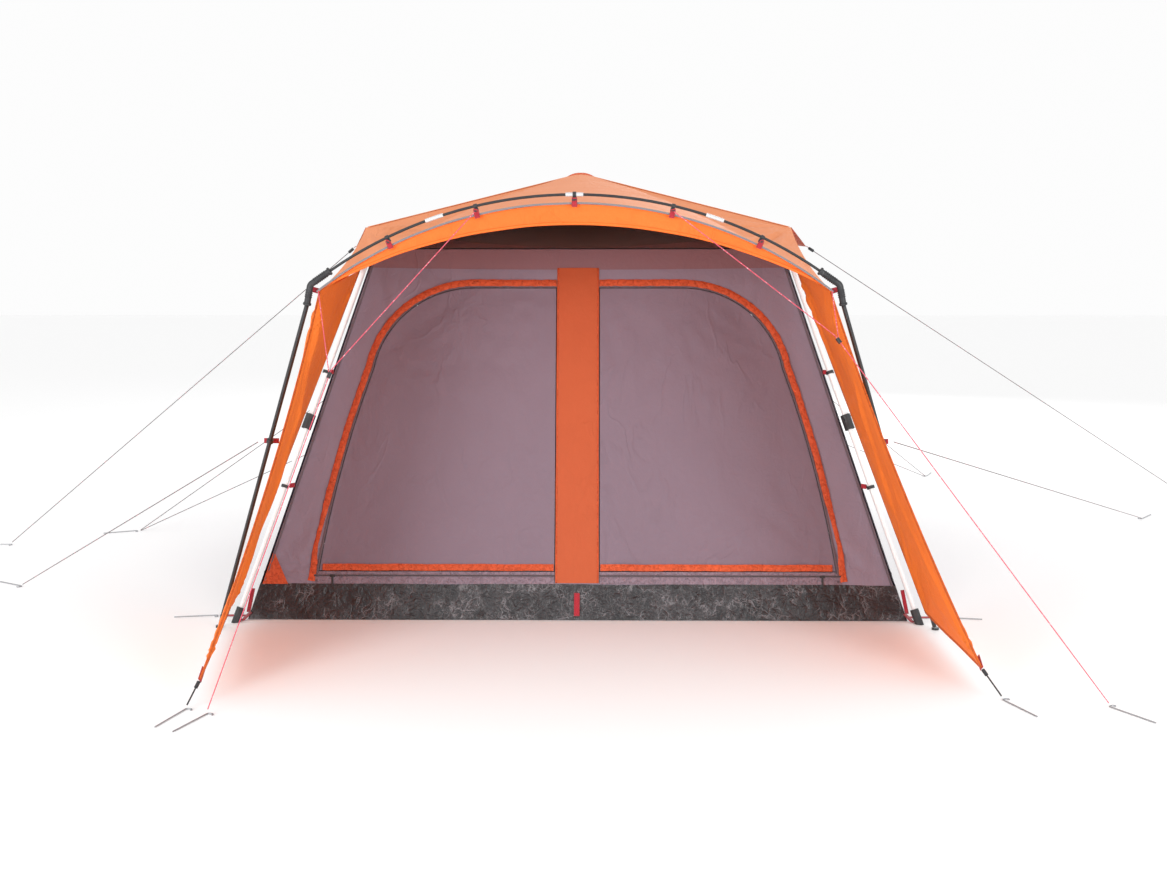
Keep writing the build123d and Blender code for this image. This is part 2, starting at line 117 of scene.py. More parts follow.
def soft_light(name, place, aim, size, power):
    data = bpy.data.lights.new(name, "AREA")
    data.shape = "DISK"
    data.size = size
    data.energy = power
    light = bpy.data.objects.new(name, data)
    light.location = place
    light.rotation_euler = (Vector(aim) - Vector(place)).to_track_quat("-Z", "Y").to_euler()
    link(light)


def make_studio():
    world = bpy.data.worlds.new("studio")
    world.use_nodes = True
    world.node_tree.nodes["Background"].inputs["Color"].default_value = (1, 1, 1, 1)
    world.node_tree.nodes["Background"].inputs["Strength"].default_value = 0.98
    bpy.context.scene.world = world
    bpy.context.scene.view_settings.view_transform = "Standard"
    soft_light("key", (-4.5, -8.0, 2.1), (0, -1, 0.9), 3, 270)
    soft_light("fill", (4.5, -8.0, 1.9), (0, -1, 0.9), 3, 210)
    soft_light("rear", (2.5, 8.0, 4.5), (0, 0, 1), 4, 160)
    mesh = bpy.data.meshes.new("floor")
    far = 40
    mesh.from_pydata([(-far, -far, 0), (far, -far, 0), (far, far, 0), (-far, far, 0)], [], [(0, 1, 2, 3)])
    floor = bpy.data.objects.new("floor", mesh)
    floor.location.z = -0.001
    link(floor)
    material = bpy.data.materials.new("floor_paper")
    material.use_nodes = True
    paper = material.node_tree.nodes["Principled BSDF"]
    paper.inputs["Base Color"].default_value = (0.97, 0.97, 0.97, 1)
    paper.inputs["Roughness"].default_value = 0.9
    paper.inputs["Specular IOR Level"].default_value = 0.1
    mesh.materials.append(material)


# ------------ materials
class Maker:
    """Builds one material's node tree, with short calls for the nodes used here."""

    def __init__(self, name, roughness, **sockets):
        self.material = bpy.data.materials.new(name)
        self.material.use_nodes = True
        self.tree = self.material.node_tree
        self.shader = self.tree.nodes["Principled BSDF"]
        self.shader.inputs["Roughness"].default_value = roughness
        for socket, value in sockets.items():
            self.shader.inputs[socket.replace("_", " ")].default_value = value
        self.place = self.tree.nodes.new("ShaderNodeTexCoord").outputs["Object"]
        self.height = None

    def node(self, kind, **inputs):
        made = self.tree.nodes.new(kind)
        for key, value in inputs.items():
            self.join(value, made.inputs[key.replace("_", " ")])
        return made

    def join(self, value, socket):
        if isinstance(value, bpy.types.NodeSocket):
            self.tree.links.new(value, socket)
        else:
            socket.default_value = value

    def stretched(self, sx, sy, sz, turn=(0, 0, 0)):
        """The place, scaled by sx, sy, sz."""
        mapping = self.node("ShaderNodeMapping", Vector=self.place, Scale=(sx, sy, sz), Rotation=turn)
        return mapping.outputs[0]

    def noise(self, scale, detail=3, vector=None, distortion=0.0):
        made = self.node("ShaderNodeTexNoise", Vector=vector or self.place, Scale=scale, Detail=detail,
                         Distortion=distortion)
        return made.outputs[0]

    def ramp(self, value, stops):
        made = self.node("ShaderNodeValToRGB", Fac=value)
        elements = made.color_ramp.elements
        while len(elements) < len(stops):
            elements.new(0.5)
        for element, (at, colour) in zip(elements, stops):
            element.position = at
            element.color = (*colour, 1)
        return made.outputs[0]

    def math(self, operation, a, b):
        made = self.tree.nodes.new("ShaderNodeMath")
        made.operation = operation
        self.join(a, made.inputs[0])
        self.join(b, made.inputs[1])
        return made.outputs[0]

    def mix(self, share, a, b, blend="MIX"):
        made = self.tree.nodes.new("ShaderNodeMix")
        made.data_type = "RGBA"
        made.blend_type = blend
        for socket, value in ((0, share), (6, a), (7, b)):
            self.join((*value, 1) if isinstance(value, tuple) and len(value) == 3 else value,
                      made.inputs[socket])
        return made.outputs[2]

    def colour(self, socket):
        self.tree.links.new(socket, self.shader.inputs["Base Color"])

    def raise_by(self, height, distance, strength=1.0):
        """Add a bump on top of the ones before it."""
        bump = self.node("ShaderNodeBump", Height=height, Distance=distance, Strength=strength)
        if self.height:
            self.tree.links.new(self.height, bump.inputs["Normal"])
        self.height = bump.outputs[0]
        self.tree.links.new(self.height, self.shader.inputs["Normal"])


BLACK, WHITE = (0, 0, 0), (1, 1, 1)


def waves(m, direction, scale):
    made = m.tree.nodes.new("ShaderNodeTexWave")
    made.bands_direction = direction
    m.tree.links.new(m.place, made.inputs["Vector"])
    made.inputs["Scale"].default_value = scale
    made.inputs["Distortion"].default_value = 0.3
    return made.outputs["Fac"]


def tent_cloth(name, light, dark, roughness=0.62, crease=0.005, thread=260, pleat_shade=0.0):
    """Thin woven polyester: crossing threads, soft hollows, sharp creases in places with painted shade along
    them, patchy colour and, when asked, painted shade in its pleats.
    """
    m = Maker(name, roughness, Specular_IOR_Level=0.22)
    # The darker colour used as painted shade in the creases and pleats.
    crease_shade = tuple(0.62 * c for c in dark)
    base = m.ramp(m.noise(1.7, 4), [(0.25, tuple((a + b) / 2 for a, b in zip(light, dark))), (0.7, light)])
    weave = m.math("MULTIPLY", m.math("ADD", waves(m, "X", thread), waves(m, "Y", thread)),
                   waves(m, "Z", thread))
    base = m.mix(0.10, base, m.ramp(weave, [(0.2, dark), (0.9, light)]), "MULTIPLY")
    fibre = m.noise(900, 2)
    base = m.mix(0.06, base, m.ramp(fibre, [(0.3, (0.2, 0.2, 0.2)), (0.7, WHITE)]), "OVERLAY")
    # Crease lines: drawn darker in the colour as painted shade, and raised as bumps.
    bent = m.noise(3.4, 3, m.stretched(1.0, 1.0, 0.55), 1.3)
    ridge = m.ramp(bent, [(0.465, BLACK), (0.5, WHITE), (0.535, BLACK)])
    where = m.ramp(m.noise(1.9, 2), [(0.46, BLACK), (0.62, WHITE)])
    lines = m.math("MULTIPLY", ridge, where)
    base = m.mix(m.math("MULTIPLY", lines, 0.08), base, crease_shade)
    if pleat_shade:
        # Folds for the pleats: darkened in the colour as painted shade, and raised as bumps.
        folds = m.ramp(m.noise(64, 3, None, 0.8), [(0.44, BLACK), (0.70, WHITE)])
        base = m.mix(m.math("MULTIPLY", folds, pleat_shade), base, crease_shade)
        m.raise_by(folds, 0.004, 0.9)
    m.colour(base)
    m.raise_by(weave, 0.0003, 0.5)
    m.raise_by(m.noise(5, 5, m.stretched(1.0, 1.0, 0.45), 0.8), 2.4 * crease, 0.8)
    m.raise_by(m.noise(26, 4, None, 1.2), 0.5 * crease, 0.7)
    m.raise_by(lines, 0.45 * crease, 0.7)
    return m.material


def crinkled_sheet(name):
    """Coated tarpaulin, dark and shiny, with sharp crinkles whose highlights are painted as light lines in
    the colour.
    """
    m = Maker(name, 0.34, Specular_IOR_Level=0.5)
    bent = m.mix(0.10, m.place, m.node("ShaderNodeTexNoise", Vector=m.place, Scale=14, Detail=4).outputs[1])
    fold = m.node("ShaderNodeTexVoronoi", Vector=bent, Scale=21)
    fold.feature = "DISTANCE_TO_EDGE"
    fine = m.node("ShaderNodeTexVoronoi", Vector=bent, Scale=52)
    fine.feature = "DISTANCE_TO_EDGE"
    edge = m.ramp(fold.outputs[0], [(0.0, WHITE), (0.05, BLACK)])
    small = m.ramp(fine.outputs[0], [(0.0, (0.7, 0.7, 0.7)), (0.06, BLACK)])
    where = m.ramp(m.noise(11, 4, None, 0.6), [(0.46, BLACK), (0.60, WHITE)])
    base = m.ramp(m.noise(9, 5), [(0.35, (0.010, 0.009, 0.011)), (0.65, (0.028, 0.025, 0.028))])
    # The crinkle lines, masked in patches, are painted highlights: light grey drawn over the dark base.
    lines = m.mix(1.0, m.mix(1.0, edge, small, "LIGHTEN"), where, "MULTIPLY")
    m.colour(m.mix(lines, base, (0.17, 0.16, 0.17)))
    m.raise_by(fold.outputs[0], 0.010, 0.9)
    m.raise_by(fine.outputs[0], 0.004, 0.7)
    m.raise_by(m.noise(60, 6, None, 1.5), 0.003, 0.6)
    return m.material


def insect_mesh(name, thread, hole):
    """Fine knitted mesh, its holes drawn darker than its threads."""
    m = Maker(name, 0.8, Sheen_Weight=0.2)
    cell = m.math("MULTIPLY", waves(m, "X", 330), m.math("MULTIPLY", waves(m, "Y", 330), waves(m, "Z", 330)))
    shade = m.mix(0.35, m.ramp(cell, [(0.25, thread), (0.7, hole)]),
                  m.ramp(m.noise(3), [(0.3, hole), (0.7, thread)]))
    m.colour(shade)
    m.raise_by(cell, 0.0005, 0.6)
    return m.material


def webbing_cloth(name, light, dark):
    """Narrow woven tape with diagonal ribs."""
    m = Maker(name, 0.7, Sheen_Weight=0.3)
    rib = m.math("MULTIPLY", waves(m, "DIAGONAL", 190), waves(m, "Z", 260))
    m.colour(m.ramp(rib, [(0.15, dark), (0.7, light)]))
    m.raise_by(rib, 0.0006, 0.9)
    return m.material


def braided_line(name, light, dark, fleck):
    """Braided cord with flecks of another colour."""
    m = Maker(name, 0.65, Sheen_Weight=0.25)
    strand = waves(m, "DIAGONAL", 240)
    base = m.ramp(strand, [(0.2, dark), (0.75, light)])
    spots = m.ramp(m.noise(160, 2), [(0.60, BLACK), (0.64, WHITE)])
    m.colour(m.mix(spots, base, fleck))
    m.raise_by(strand, 0.0006, 0.8)
    return m.material


def hard(name, colour, worn, roughness, metallic=0.0, grain=420, bump=0.0002, coat=0.0):
    """Moulded plastic or painted and bare metal: fine grain, smudges and rubbed marks."""
    m = Maker(name, roughness, Metallic=metallic, Coat_Weight=coat)
    rubbed = tuple(0.82 * c + 0.18 * w for c, w in zip(colour, worn))
    smudge = m.ramp(m.noise(14, 5), [(0.35, colour), (0.72, rubbed)])
    scratch = m.ramp(m.noise(55, 6, m.stretched(1, 1, 0.15), 2.0), [(0.66, BLACK), (0.70, WHITE)])
    m.colour(m.mix(m.math("MULTIPLY", scratch, 0.35), smudge, worn))
    spread = m.ramp(m.noise(30, 4), [(0.3, (roughness * 0.8,) * 3), (0.7, (min(1, roughness * 1.25),) * 3)])
    m.tree.links.new(spread, m.shader.inputs["Roughness"])
    m.raise_by(m.noise(grain, 3), bump, 0.6)
    return m.material


ROOF = tent_cloth("roof_cloth", (0.82, 0.315, 0.145), (0.72, 0.245, 0.10))
# Painted light: the valance's colour is brighter than the roof's, standing for the light that shines through
# it.
VALANCE_BACKLIT = tent_cloth("valance_cloth", (0.93, 0.18, 0.028), (0.84, 0.14, 0.020))
WING = tent_cloth("wing_cloth", (0.98, 0.250, 0.040), (0.84, 0.180, 0.026), crease=0.007)
HEM = tent_cloth("wing_hem_cloth", (0.74, 0.150, 0.026), (0.55, 0.100, 0.018), pleat_shade=0.3)
# Painted shade: the side flaps' orange is darker than the wings' for the shade they hang in; the peak patch
# uses this cloth too.
AWNING_SHADED = tent_cloth("awning_cloth", (0.70, 0.125, 0.035), (0.60, 0.09, 0.025))
# Painted light: the walls' grey is lighter and bluer than the door's, though both are one fabric, to cancel
# the shade and red light the wings throw on the walls.
GREY_LIT = tent_cloth("wall_cloth", (0.300, 0.240, 0.300), (0.258, 0.205, 0.256), roughness=0.55, crease=0.006)
DOOR = tent_cloth("door_cloth", (0.235, 0.172, 0.214), (0.204, 0.148, 0.185), roughness=0.5, crease=0.005)
GATHER = tent_cloth("gathered_cloth", (0.290, 0.215, 0.255), (0.215, 0.155, 0.190), pleat_shade=0.5)
# Painted shade: the wall's top band is darkened for the shadow the porch casts on it.
HEADER_SHADE = tent_cloth("header_cloth", (0.29, 0.165, 0.185), (0.23, 0.125, 0.14))
TRIM = tent_cloth("trim_cloth", (0.70, 0.120, 0.042), (0.50, 0.072, 0.027), crease=0.003, pleat_shade=0.42)
STRIP = tent_cloth("strip_cloth", (0.53, 0.112, 0.040), (0.46, 0.088, 0.031), crease=0.003)
MESH = insect_mesh("ceiling_mesh", (0.125, 0.100, 0.135), (0.045, 0.038, 0.050))
PE = crinkled_sheet("tub_sheet")
RED_TAPE = webbing_cloth("red_webbing", (0.60, 0.012, 0.035), (0.36, 0.006, 0.02))
GREY_TAPE = webbing_cloth("grey_tape", (0.33, 0.31, 0.32), (0.20, 0.18, 0.19))
# Dark tape for seams and corners; beside the door flaps it also stands for their shadow, as painted shade.
TAPE_AND_SHADOW = webbing_cloth("seam_tape", (0.19, 0.135, 0.16), (0.12, 0.085, 0.10))
RED_LINE = braided_line("red_line", (0.80, 0.10, 0.16), (0.55, 0.04, 0.08), (0.9, 0.45, 0.5, 1))
GREY_LINE = braided_line("grey_line", (0.16, 0.14, 0.15), (0.07, 0.06, 0.065), (0.6, 0.05, 0.08, 1))
WHITE_TUBE = hard("white_tube", (0.80, 0.80, 0.80), (0.55, 0.55, 0.56), 0.32, coat=0.3)
BLACK_TUBE = hard("black_tube", (0.016, 0.016, 0.018), (0.11, 0.11, 0.115), 0.35)
ARCH_ROD = hard("arch_rod", (0.014, 0.014, 0.016), (0.06, 0.06, 0.06), 0.42, grain=900)
FERRULE = hard("ferrule", (0.72, 0.73, 0.74), (0.45, 0.46, 0.47), 0.28, metallic=0.6)
PLASTIC = hard("black_plastic", (0.017, 0.017, 0.019), (0.09, 0.09, 0.095), 0.5, bump=0.0004)
STEEL = hard("peg_steel", (0.42, 0.43, 0.45), (0.20, 0.19, 0.18), 0.33, metallic=0.9)

SLOTS = {material.name: slot for slot, group in {
    "orange_cloth": (ROOF, VALANCE_BACKLIT, WING, HEM, AWNING_SHADED), "grey_cloth": (GREY_LIT, DOOR, GATHER, HEADER_SHADE, TAPE_AND_SHADOW),
    "trim_cloth": (TRIM, STRIP), "mesh": (MESH,), "tub_sheet": (PE,), "webbing": (RED_TAPE,),
    "piping": (GREY_TAPE,), "red_cord": (RED_LINE,), "grey_cord": (GREY_LINE,),
    "black_plastic": (PLASTIC,)}.items() for material in group}


# ------------ mesh helpers
def piece(name, points, faces, material, body="root"):
    mesh = bpy.data.meshes.new(name)
    mesh.from_pydata([tuple(p) for p in points], [], faces)
    mesh.materials.append(material)
    mesh.polygons.foreach_set("use_smooth", [True] * len(mesh.polygons))
    mesh.update()
    made = bpy.data.objects.new(name, mesh)
    link(made)
    if body:
        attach(made, body)
    return made


def grid(across, along):
    """The faces between rows of across + 1 points each."""
    row = across + 1
    return [(j * row + i, j * row + i + 1, (j + 1) * row + i + 1, (j + 1) * row + i)
            for j in range(along) for i in range(across)]


def surface(name, place, across, along, material, body="root"):
    """A sheet from place(u, v), with u and v from 0 to 1."""
    points = [place(i / across, j / along) for j in range(along + 1) for i in range(across + 1)]
    return piece(name, points, grid(across, along), material, body)


def ruffle(x, y, z, scale, seed=0.0):
    """Smooth noise between about -1 and 1."""
    return noise.noise(Vector((x * scale + seed, y * scale - seed, z * scale + 2 * seed)))


def pull(x, y, holds, seed=0.0, reach=0.5):
    """Creases that fan out from each place where the cloth is held."""
    total = 0
    for i, (hx, hy) in enumerate(holds):
        far, turn = math.hypot(x - hx, y - hy), math.atan2(y - hy, x - hx)
        ray = noise.noise(Vector((turn * 6.0, seed + 3.7 * i, far * 0.7)))
        total += math.exp(-far / reach) * min(1, far / 0.10) * ray
    return total


def between(a, b, t):
    return Vector(a).lerp(Vector(b), t)


def ribbon(name, line, width, normal, material, body="root", thick=0.0012, sides=4):
    """A flat tape along the points of line, width across, lying off the surface by its thickness."""
    points = []
    for i, at in enumerate(line):
        ahead = (Vector(line[min(i + 1, len(line) - 1)]) - Vector(line[max(i - 1, 0)])).normalized()
        out = Vector(normal(at) if callable(normal) else normal)
        across = ahead.cross(out).normalized() * width / 2
        out = out.normalized() * thick
        for k in range(sides + 1):
            share = 2 * k / sides - 1
            points.append(Vector(at) + across * share + out * (1 + 0.5 * (1 - share**2)))
    made = piece(name, points, grid(sides, len(line) - 1), material, body)
    shell = made.modifiers.new("thickness", "SOLIDIFY")
    shell.thickness = thick
    shell.offset = -1
    return made


def webbing(name, line, width, normal):
    return ribbon(name, line, width, normal, RED_TAPE, thick=WEBBING)


def repeat(a, b, count):
    return [between(a, b, i / count) for i in range(count + 1)]


# ------------ walls
TURNS = {"front": (0, -1), "right": (1, 0), "rear": (0, 1), "left": (-1, 0)}


def on_wall(side, x, z, off=0.0):
    """A point of a wall's outer face: x along it as seen from outside, z its height, off outward."""
    out_x, out_y = TURNS[side]
    reach = HALF - LEAN * z
    out = Vector((out_x, out_y, LEAN)) / STRETCH
    return Vector((out_x * reach - out_y * x, out_y * reach + out_x * x, z)) + out * off


def wall_edge(z):
    return HALF - LEAN * z - 0.008


def billow(x, z, low, high, half, depth):
    """How far loose cloth stands off its plane: nothing at the edges, most in the middle."""
    up = min(max((z - low) / (high - low), 0), 1)
    side = min(abs(x) / half, 1)
    return depth * 4 * up * (1 - up) * (1 - side**2)


def wall_place(side, depth=0.012):
    low, high = TUB_TOP - 0.006, WALL_TOP

    def place(u, v):
        z = low + (high - low) * v
        x = (2 * u - 1) * wall_edge(z)
        swell = billow(x, z, low, high, wall_edge(z), depth)
        fold = ruffle(x, z, 0, 3.1, 4.0) * 0.006 + ruffle(x * 2, z * 0.4, 0, 6, 9.0) * 0.003
        corners = [(wx * wall_edge(wz), wz) for wx in (-1, 1) for wz in (low, high)]
        calm = min(1, (wall_edge(z) - abs(x)) / 0.04, (z - low) / 0.04, (high - z) / 0.04)
        fan = min(0.026 * pull(x, z, corners, len(side)) * max(calm, 0), 0.0)
        return on_wall(side, x, z, WALL_MID - swell + fold * billow(x, z, low, high, wall_edge(z), 1) + fan)
    return place


def arc_through(a, b, c, count):
    """Points of the circle through three flat points, without the last."""
    (ax, ay), (bx, by), (cx, cy) = a, b, c
    d = 2 * (ax * (by - cy) + bx * (cy - ay) + cx * (ay - by))
    sa, sb, sc = ax * ax + ay * ay, bx * bx + by * by, cx * cx + cy * cy
    ox = (sa * (by - cy) + sb * (cy - ay) + sc * (ay - by)) / d
    oy = (sa * (cx - bx) + sb * (ax - cx) + sc * (bx - ax)) / d
    radius = math.hypot(ax - ox, ay - oy)
    start, end = math.atan2(ay - oy, ax - ox), math.atan2(cy - oy, cx - ox)
    if abs(end - start) > math.pi:
        end -= math.copysign(2 * math.pi, end - start)
    angles = [start + (end - start) * i / count for i in range(count)]
    return [(ox + radius * math.cos(t), oy + radius * math.sin(t)) for t in angles]


def straight(a, b, step=0.04):
    count = max(1, round(math.dist(a, b) / step))
    return [(a[0] + (b[0] - a[0]) * i / count, a[1] + (b[1] - a[1]) * i / count) for i in range(count)]


def door_line(hinge):
    """The right-hand door's outline, in flat wall measures, from the top of its hinge side to the bottom."""
    low, high = DOOR_LOW * STRETCH, DOOR_HIGH * STRETCH
    shoulder, corner = (1.005, 1.130 * STRETCH), (1.235, low)
    return (straight((hinge, high), (0.490, high))
            + arc_through((0.490, high), (0.820, 1.430 * STRETCH), shoulder, 22)
            + arc_through(shoulder, (1.118, 0.760 * STRETCH), corner, 28) + [corner])


def inset(line, by):
    """The open outline moved inward, towards its hollow side."""
    moved = []
    for i, (x, y) in enumerate(line):
        px, py = line[max(i - 1, 0)]
        nx, ny = line[min(i + 1, len(line) - 1)]
        dx, dy = nx - px, ny - py
        long = math.hypot(dx, dy)
        moved.append((x + dy / long * by, y - dx / long * by))
    return moved


def door_loop(by, hinge):
    """The closed outline of a door, drawn in by that much, with its hinge side at x = hinge."""
    low = DOOR_LOW * STRETCH + by
    side = [p for p in inset(door_line(hinge), by) if p[1] > low + 0.004]
    (ax, ay), (bx, by_) = side[-2], side[-1]
    foot = (bx + (bx - ax) * (low - by_) / (by_ - ay), low)
    return side + straight(foot, (hinge, low)) + straight((hinge, low), side[0])


def inside(point, loop):
    x, y = point
    hit = False
    for (ax, ay), (bx, by) in zip(loop, loop[1:] + loop[:1]):
        if (ay > y) != (by > y) and x < (bx - ax) * (y - ay) / (by - ay) + ax:
            hit = not hit
    return hit


def flat_mesh(loops, holes, step):
    """Triangles that fill the loops but not the holes, with points on a grid between them."""
    points, edges = [], []
    for loop in loops + holes:
        start = len(points)
        points += [Vector(p) for p in loop]
        edges += [(start + i, start + (i + 1) % len(loop)) for i in range(len(loop))]
    lows = [min(p[k] for loop in loops for p in loop) for k in (0, 1)]
    highs = [max(p[k] for loop in loops for p in loop) for k in (0, 1)]
    for i in range(int((highs[0] - lows[0]) / step) + 1):
        for j in range(int((highs[1] - lows[1]) / step) + 1):
            spot = (lows[0] + (i + 0.5 * (j % 2)) * step, lows[1] + j * step)
            if any(inside(spot, loop) for loop in loops) and not any(inside(spot, hole) for hole in holes):
                if min(math.dist(spot, p) for loop in loops + holes for p in loop) > 0.4 * step:
                    points.append(Vector(spot))
    found = geometry.delaunay_2d_cdt(points, edges, [], 0, 1e-6)
    faces = []
    for face in found[2]:
        middle = sum((found[0][i] for i in face), Vector((0, 0))) / len(face)
        if any(inside(middle, loop) for loop in loops) and not any(inside(middle, hole) for hole in holes):
            faces.append(face)
    used = sorted({i for face in faces for i in face})
    number = {old: new for new, old in enumerate(used)}
    return [found[0][i] for i in used], [tuple(number[i] for i in face) for face in faces]


def mirror_loop(loop):
    return [(-x, y) for x, y in loop]


def make_front_wall():
    low, high = (TUB_TOP - 0.006) * STRETCH, WALL_TOP * STRETCH
    bottom, top = wall_edge(TUB_TOP), wall_edge(WALL_TOP)
    outer = (straight((-bottom, low), (bottom, low)) + straight((bottom, low), (top, high))
             + straight((top, high), (-top, high)) + straight((-top, high), (-bottom, low)))
    hole = door_loop(TRIM_W, STRIP_HALF)
    flat, faces = flat_mesh([outer], [hole, mirror_loop(hole)], 0.028)
    reach = door_loop(-0.012, STRIP_HALF)  # the zip flaps lie on the cloth inside this
    corners = [(wx * wall_edge(wz), wz) for wx in (-1, 1) for wz in (TUB_TOP, WALL_TOP)]
    points = []
    for x, v in flat:
        z = v / STRETCH
        edge = min(1, (wall_edge(z) - abs(x)) / 0.12, (z - TUB_TOP) / 0.05, (WALL_TOP - z) / 0.05)
        fold = ruffle(x * 0.7, z * 0.25, 0, 9, 3.0) * 0.007 + ruffle(x, z, 0, 17, 6.0) * 0.003
        fold += 0.022 * pull(x, z, corners, 2.0, 0.4)
        if abs(x) < STRIP_HALF + 0.03 or z > 1.56 or inside((abs(x), v), reach):
            fold = min(fold, 0)
        points.append(on_wall("front", x, z, WALL_MID + max(edge, 0) * fold))
    wall = piece("front_wall_cloth", points, faces, GREY_LIT)
    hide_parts("front_wall")


def make_door(sign, name):
    loop = door_loop(TRIM_W + DOOR_GAP, STRIP_HALF + DOOR_GAP)
    flat, faces = flat_mesh([loop], [], 0.028)
    holds = [(1.17, DOOR_LOW + 0.04), (STRIP_HALF, DOOR_HIGH - 0.04), (STRIP_HALF, DOOR_LOW + 0.04),
             (0.95, 1.17), (0.49, 1.49)]
    tree_points = [Vector(p) for p in loop]
    points = []
    for p in flat:
        x, z = p[0], p[1] / STRETCH
        rim = min((p - q).length for q in tree_points)
        swell = (0.010 * min(1, rim / 0.35)
                 + 0.0045 * min(1, rim / 0.06) * ruffle(x * 0.6, z * 0.35, 0, 7, 2.0 + sign))
        swell += 0.020 * min(1, rim / 0.03) * abs(pull(x, z, holds, 4.0 + sign, 0.32))
        pucker = 0.006 * math.exp(-rim / 0.06) * ruffle(x, z, 0, 20, 5.0) * min(1, rim / 0.015)
        points.append(on_wall("front", sign * x, z, WALL_MID - swell + pucker))
    door = piece(f"door_cloth_{name}", points, faces, DOOR, f"door_{name}")
    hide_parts(f"door_{name}")


def trim_shape(sign, name):
    """The gathered flap round a door's top and side, the dark zip tape beside it, darkened also as painted
    shadow along the flap, and the band at its foot.
    """
    line = door_line(STRIP_HALF + 0.002)
    dense = []
    for a, b in zip(line, line[1:]):
        dense += straight(a, b, 0.009)
    dense.append(line[-1])
    count = len(dense) - 1

    def across(i, off, out):
        """A point off metres inward from the outline at its i-th point, out metres off the wall."""
        (px, py), (nx, ny) = dense[max(i - 4, 0)], dense[min(i + 4, count)]
        long = math.hypot(nx - px, ny - py)
        x, v = dense[i]
        return on_wall("front", sign * (x + (ny - py) / long * off),
                       (v - (nx - px) / long * off) / STRETCH, out)
    rows, points = 6, []
    for i, (x, v) in enumerate(dense):
        along = i / count
        narrow = (1 - 0.38 * math.exp(-((along - 0.90) / 0.06) ** 2)
                  - 0.10 * math.exp(-((along - 0.62) / 0.2) ** 2))
        sway = 0.003 * ruffle(x, v, 0, 6, 3.0 + sign) - 0.006 * math.exp(-((along - 0.93) / 0.03) ** 2)
        ragged = 0.0028 * ruffle(x, v, 0, 31, 1.0), 0.0030 * ruffle(x, v, 1, 36, 6.0)
        for k in range(rows + 1):
            share = k / rows
            off = 0.003 + sway + 0.033 * share * narrow + ragged[0] * (1 - share) + ragged[1] * share
            crown = 0.0045 * math.sin(math.pi * (0.12 + 0.8 * share))
            pucker = (0.0045 * abs(ruffle(x, v, share * 0.03, 34, 8.0))
                      * math.sin(math.pi * (0.1 + 0.85 * share)))
            points.append(across(i, off, 0.001 + crown + pucker))
    side = piece(f"trim_side_{name}", points, grid(rows, count), TRIM)
    long = sum(math.dist(a, b) for a, b in zip(line, line[1:]))
    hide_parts("door_trims")
    # The zip tape is dark for the tape itself and as painted shadow beside the flap.
    tape = [across(i, 0.0385, 0.0012 + 0.0012 * abs(ruffle(*dense[i], 0, 40, 2)))
            for i in range(0, count + 1, 2)]
    ribbon(f"zip_tape_{name}", tape, 0.0105, (0, -1, LEAN), TAPE_AND_SHADOW, thick=0.0008, sides=3)
    coil = [across(i, 0.0435, 0.0010) for i in range(0, count + 1, 2)]
    tube(f"zip_coil_{name}", coil, 0.0016, PLASTIC, sides=6, shape=lambda i: 1 + 0.25 * (i % 2))
    slot_z = 0.1915
    tape = [on_wall("front", sign * (STRIP_HALF + 0.004 + 1.10 * i / 60), slot_z, 0.0062) for i in range(61)]
    ribbon(f"foot_zip_tape_{name}", tape, 0.009, (0, -1, LEAN), TAPE_AND_SHADOW, thick=0.0008, sides=3)
    coil = [on_wall("front", sign * (STRIP_HALF + 0.004 + 1.10 * i / 240), slot_z, 0.0078)
            for i in range(241)]
    tube(f"foot_zip_coil_{name}", coil, 0.0012, PLASTIC, sides=6,
         shape=lambda i: 1 + 0.25 * (i % 2))
    low = 0.2135

    def foot(u, v):
        x = STRIP_HALF + 0.007 + (1.160 - STRIP_HALF) * u
        sag = 0.0022 * ruffle(x, 0, 0, 8, 2.0) + 0.001 * ruffle(x, v, 0, 33, 4.0)
        pucker = 0.0035 * abs(ruffle(x, v * 0.02, 0, 38, 1.0 + sign)) * math.sin(math.pi * (0.1 + 0.8 * v))
        return on_wall("front", sign * x, low + 0.029 * v + sag,
                       0.0016 + 0.003 * math.sin(math.pi * v) + pucker)
    bottom = surface(f"door_foot_{name}", foot, 150, 5, TRIM, f"door_{name}")

    def gathers(u, v):
        x = STRIP_HALF + 0.004 + (1.205 - STRIP_HALF) * u
        crease_shade = 0.0048 * math.sin(math.pi * (0.08 + 0.84 * v))
        return on_wall("front", sign * x, TUB_TOP + 0.006 + (0.2085 - TUB_TOP - 0.006) * v,
                       0.0008 + crease_shade * (0.35 + abs(ruffle(x, v * 0.03, 0, 30, 5.0))
                                        + 0.4 * ruffle(x, v * 0.3, 0, 14, 3)))
    band = surface(f"foot_gathers_{name}", gathers, 200, 6, GATHER)


def make_strip():
    low, high = TUB_TOP + 0.010, 1.590

    def place(u, v):
        z = low + (high - low) * v
        x = (2 * u - 1) * (STRIP_HALF + 0.001 * ruffle(0, z, 0, 6, 1.0))
        crown = 0.002 + 0.004 * (1 - (2 * u - 1) ** 2) * (0.6 + 0.4 * ruffle(x * 2, z, 0, 5, 2.0))
        return on_wall("front", x, z, crown)
    strip = surface("door_strip_cloth", place, 16, 110, STRIP)
    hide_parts("door_strip")
    for sign in (-1, 1):
        seam = [on_wall("front", sign * (STRIP_HALF - 0.006), low + (high - low) * i / 60, 0.002)
                for i in range(61)]
        ribbon(f"strip_seam_{'l' if sign < 0 else 'r'}", seam, 0.005, (0, -1, LEAN), TRIM, sides=2)


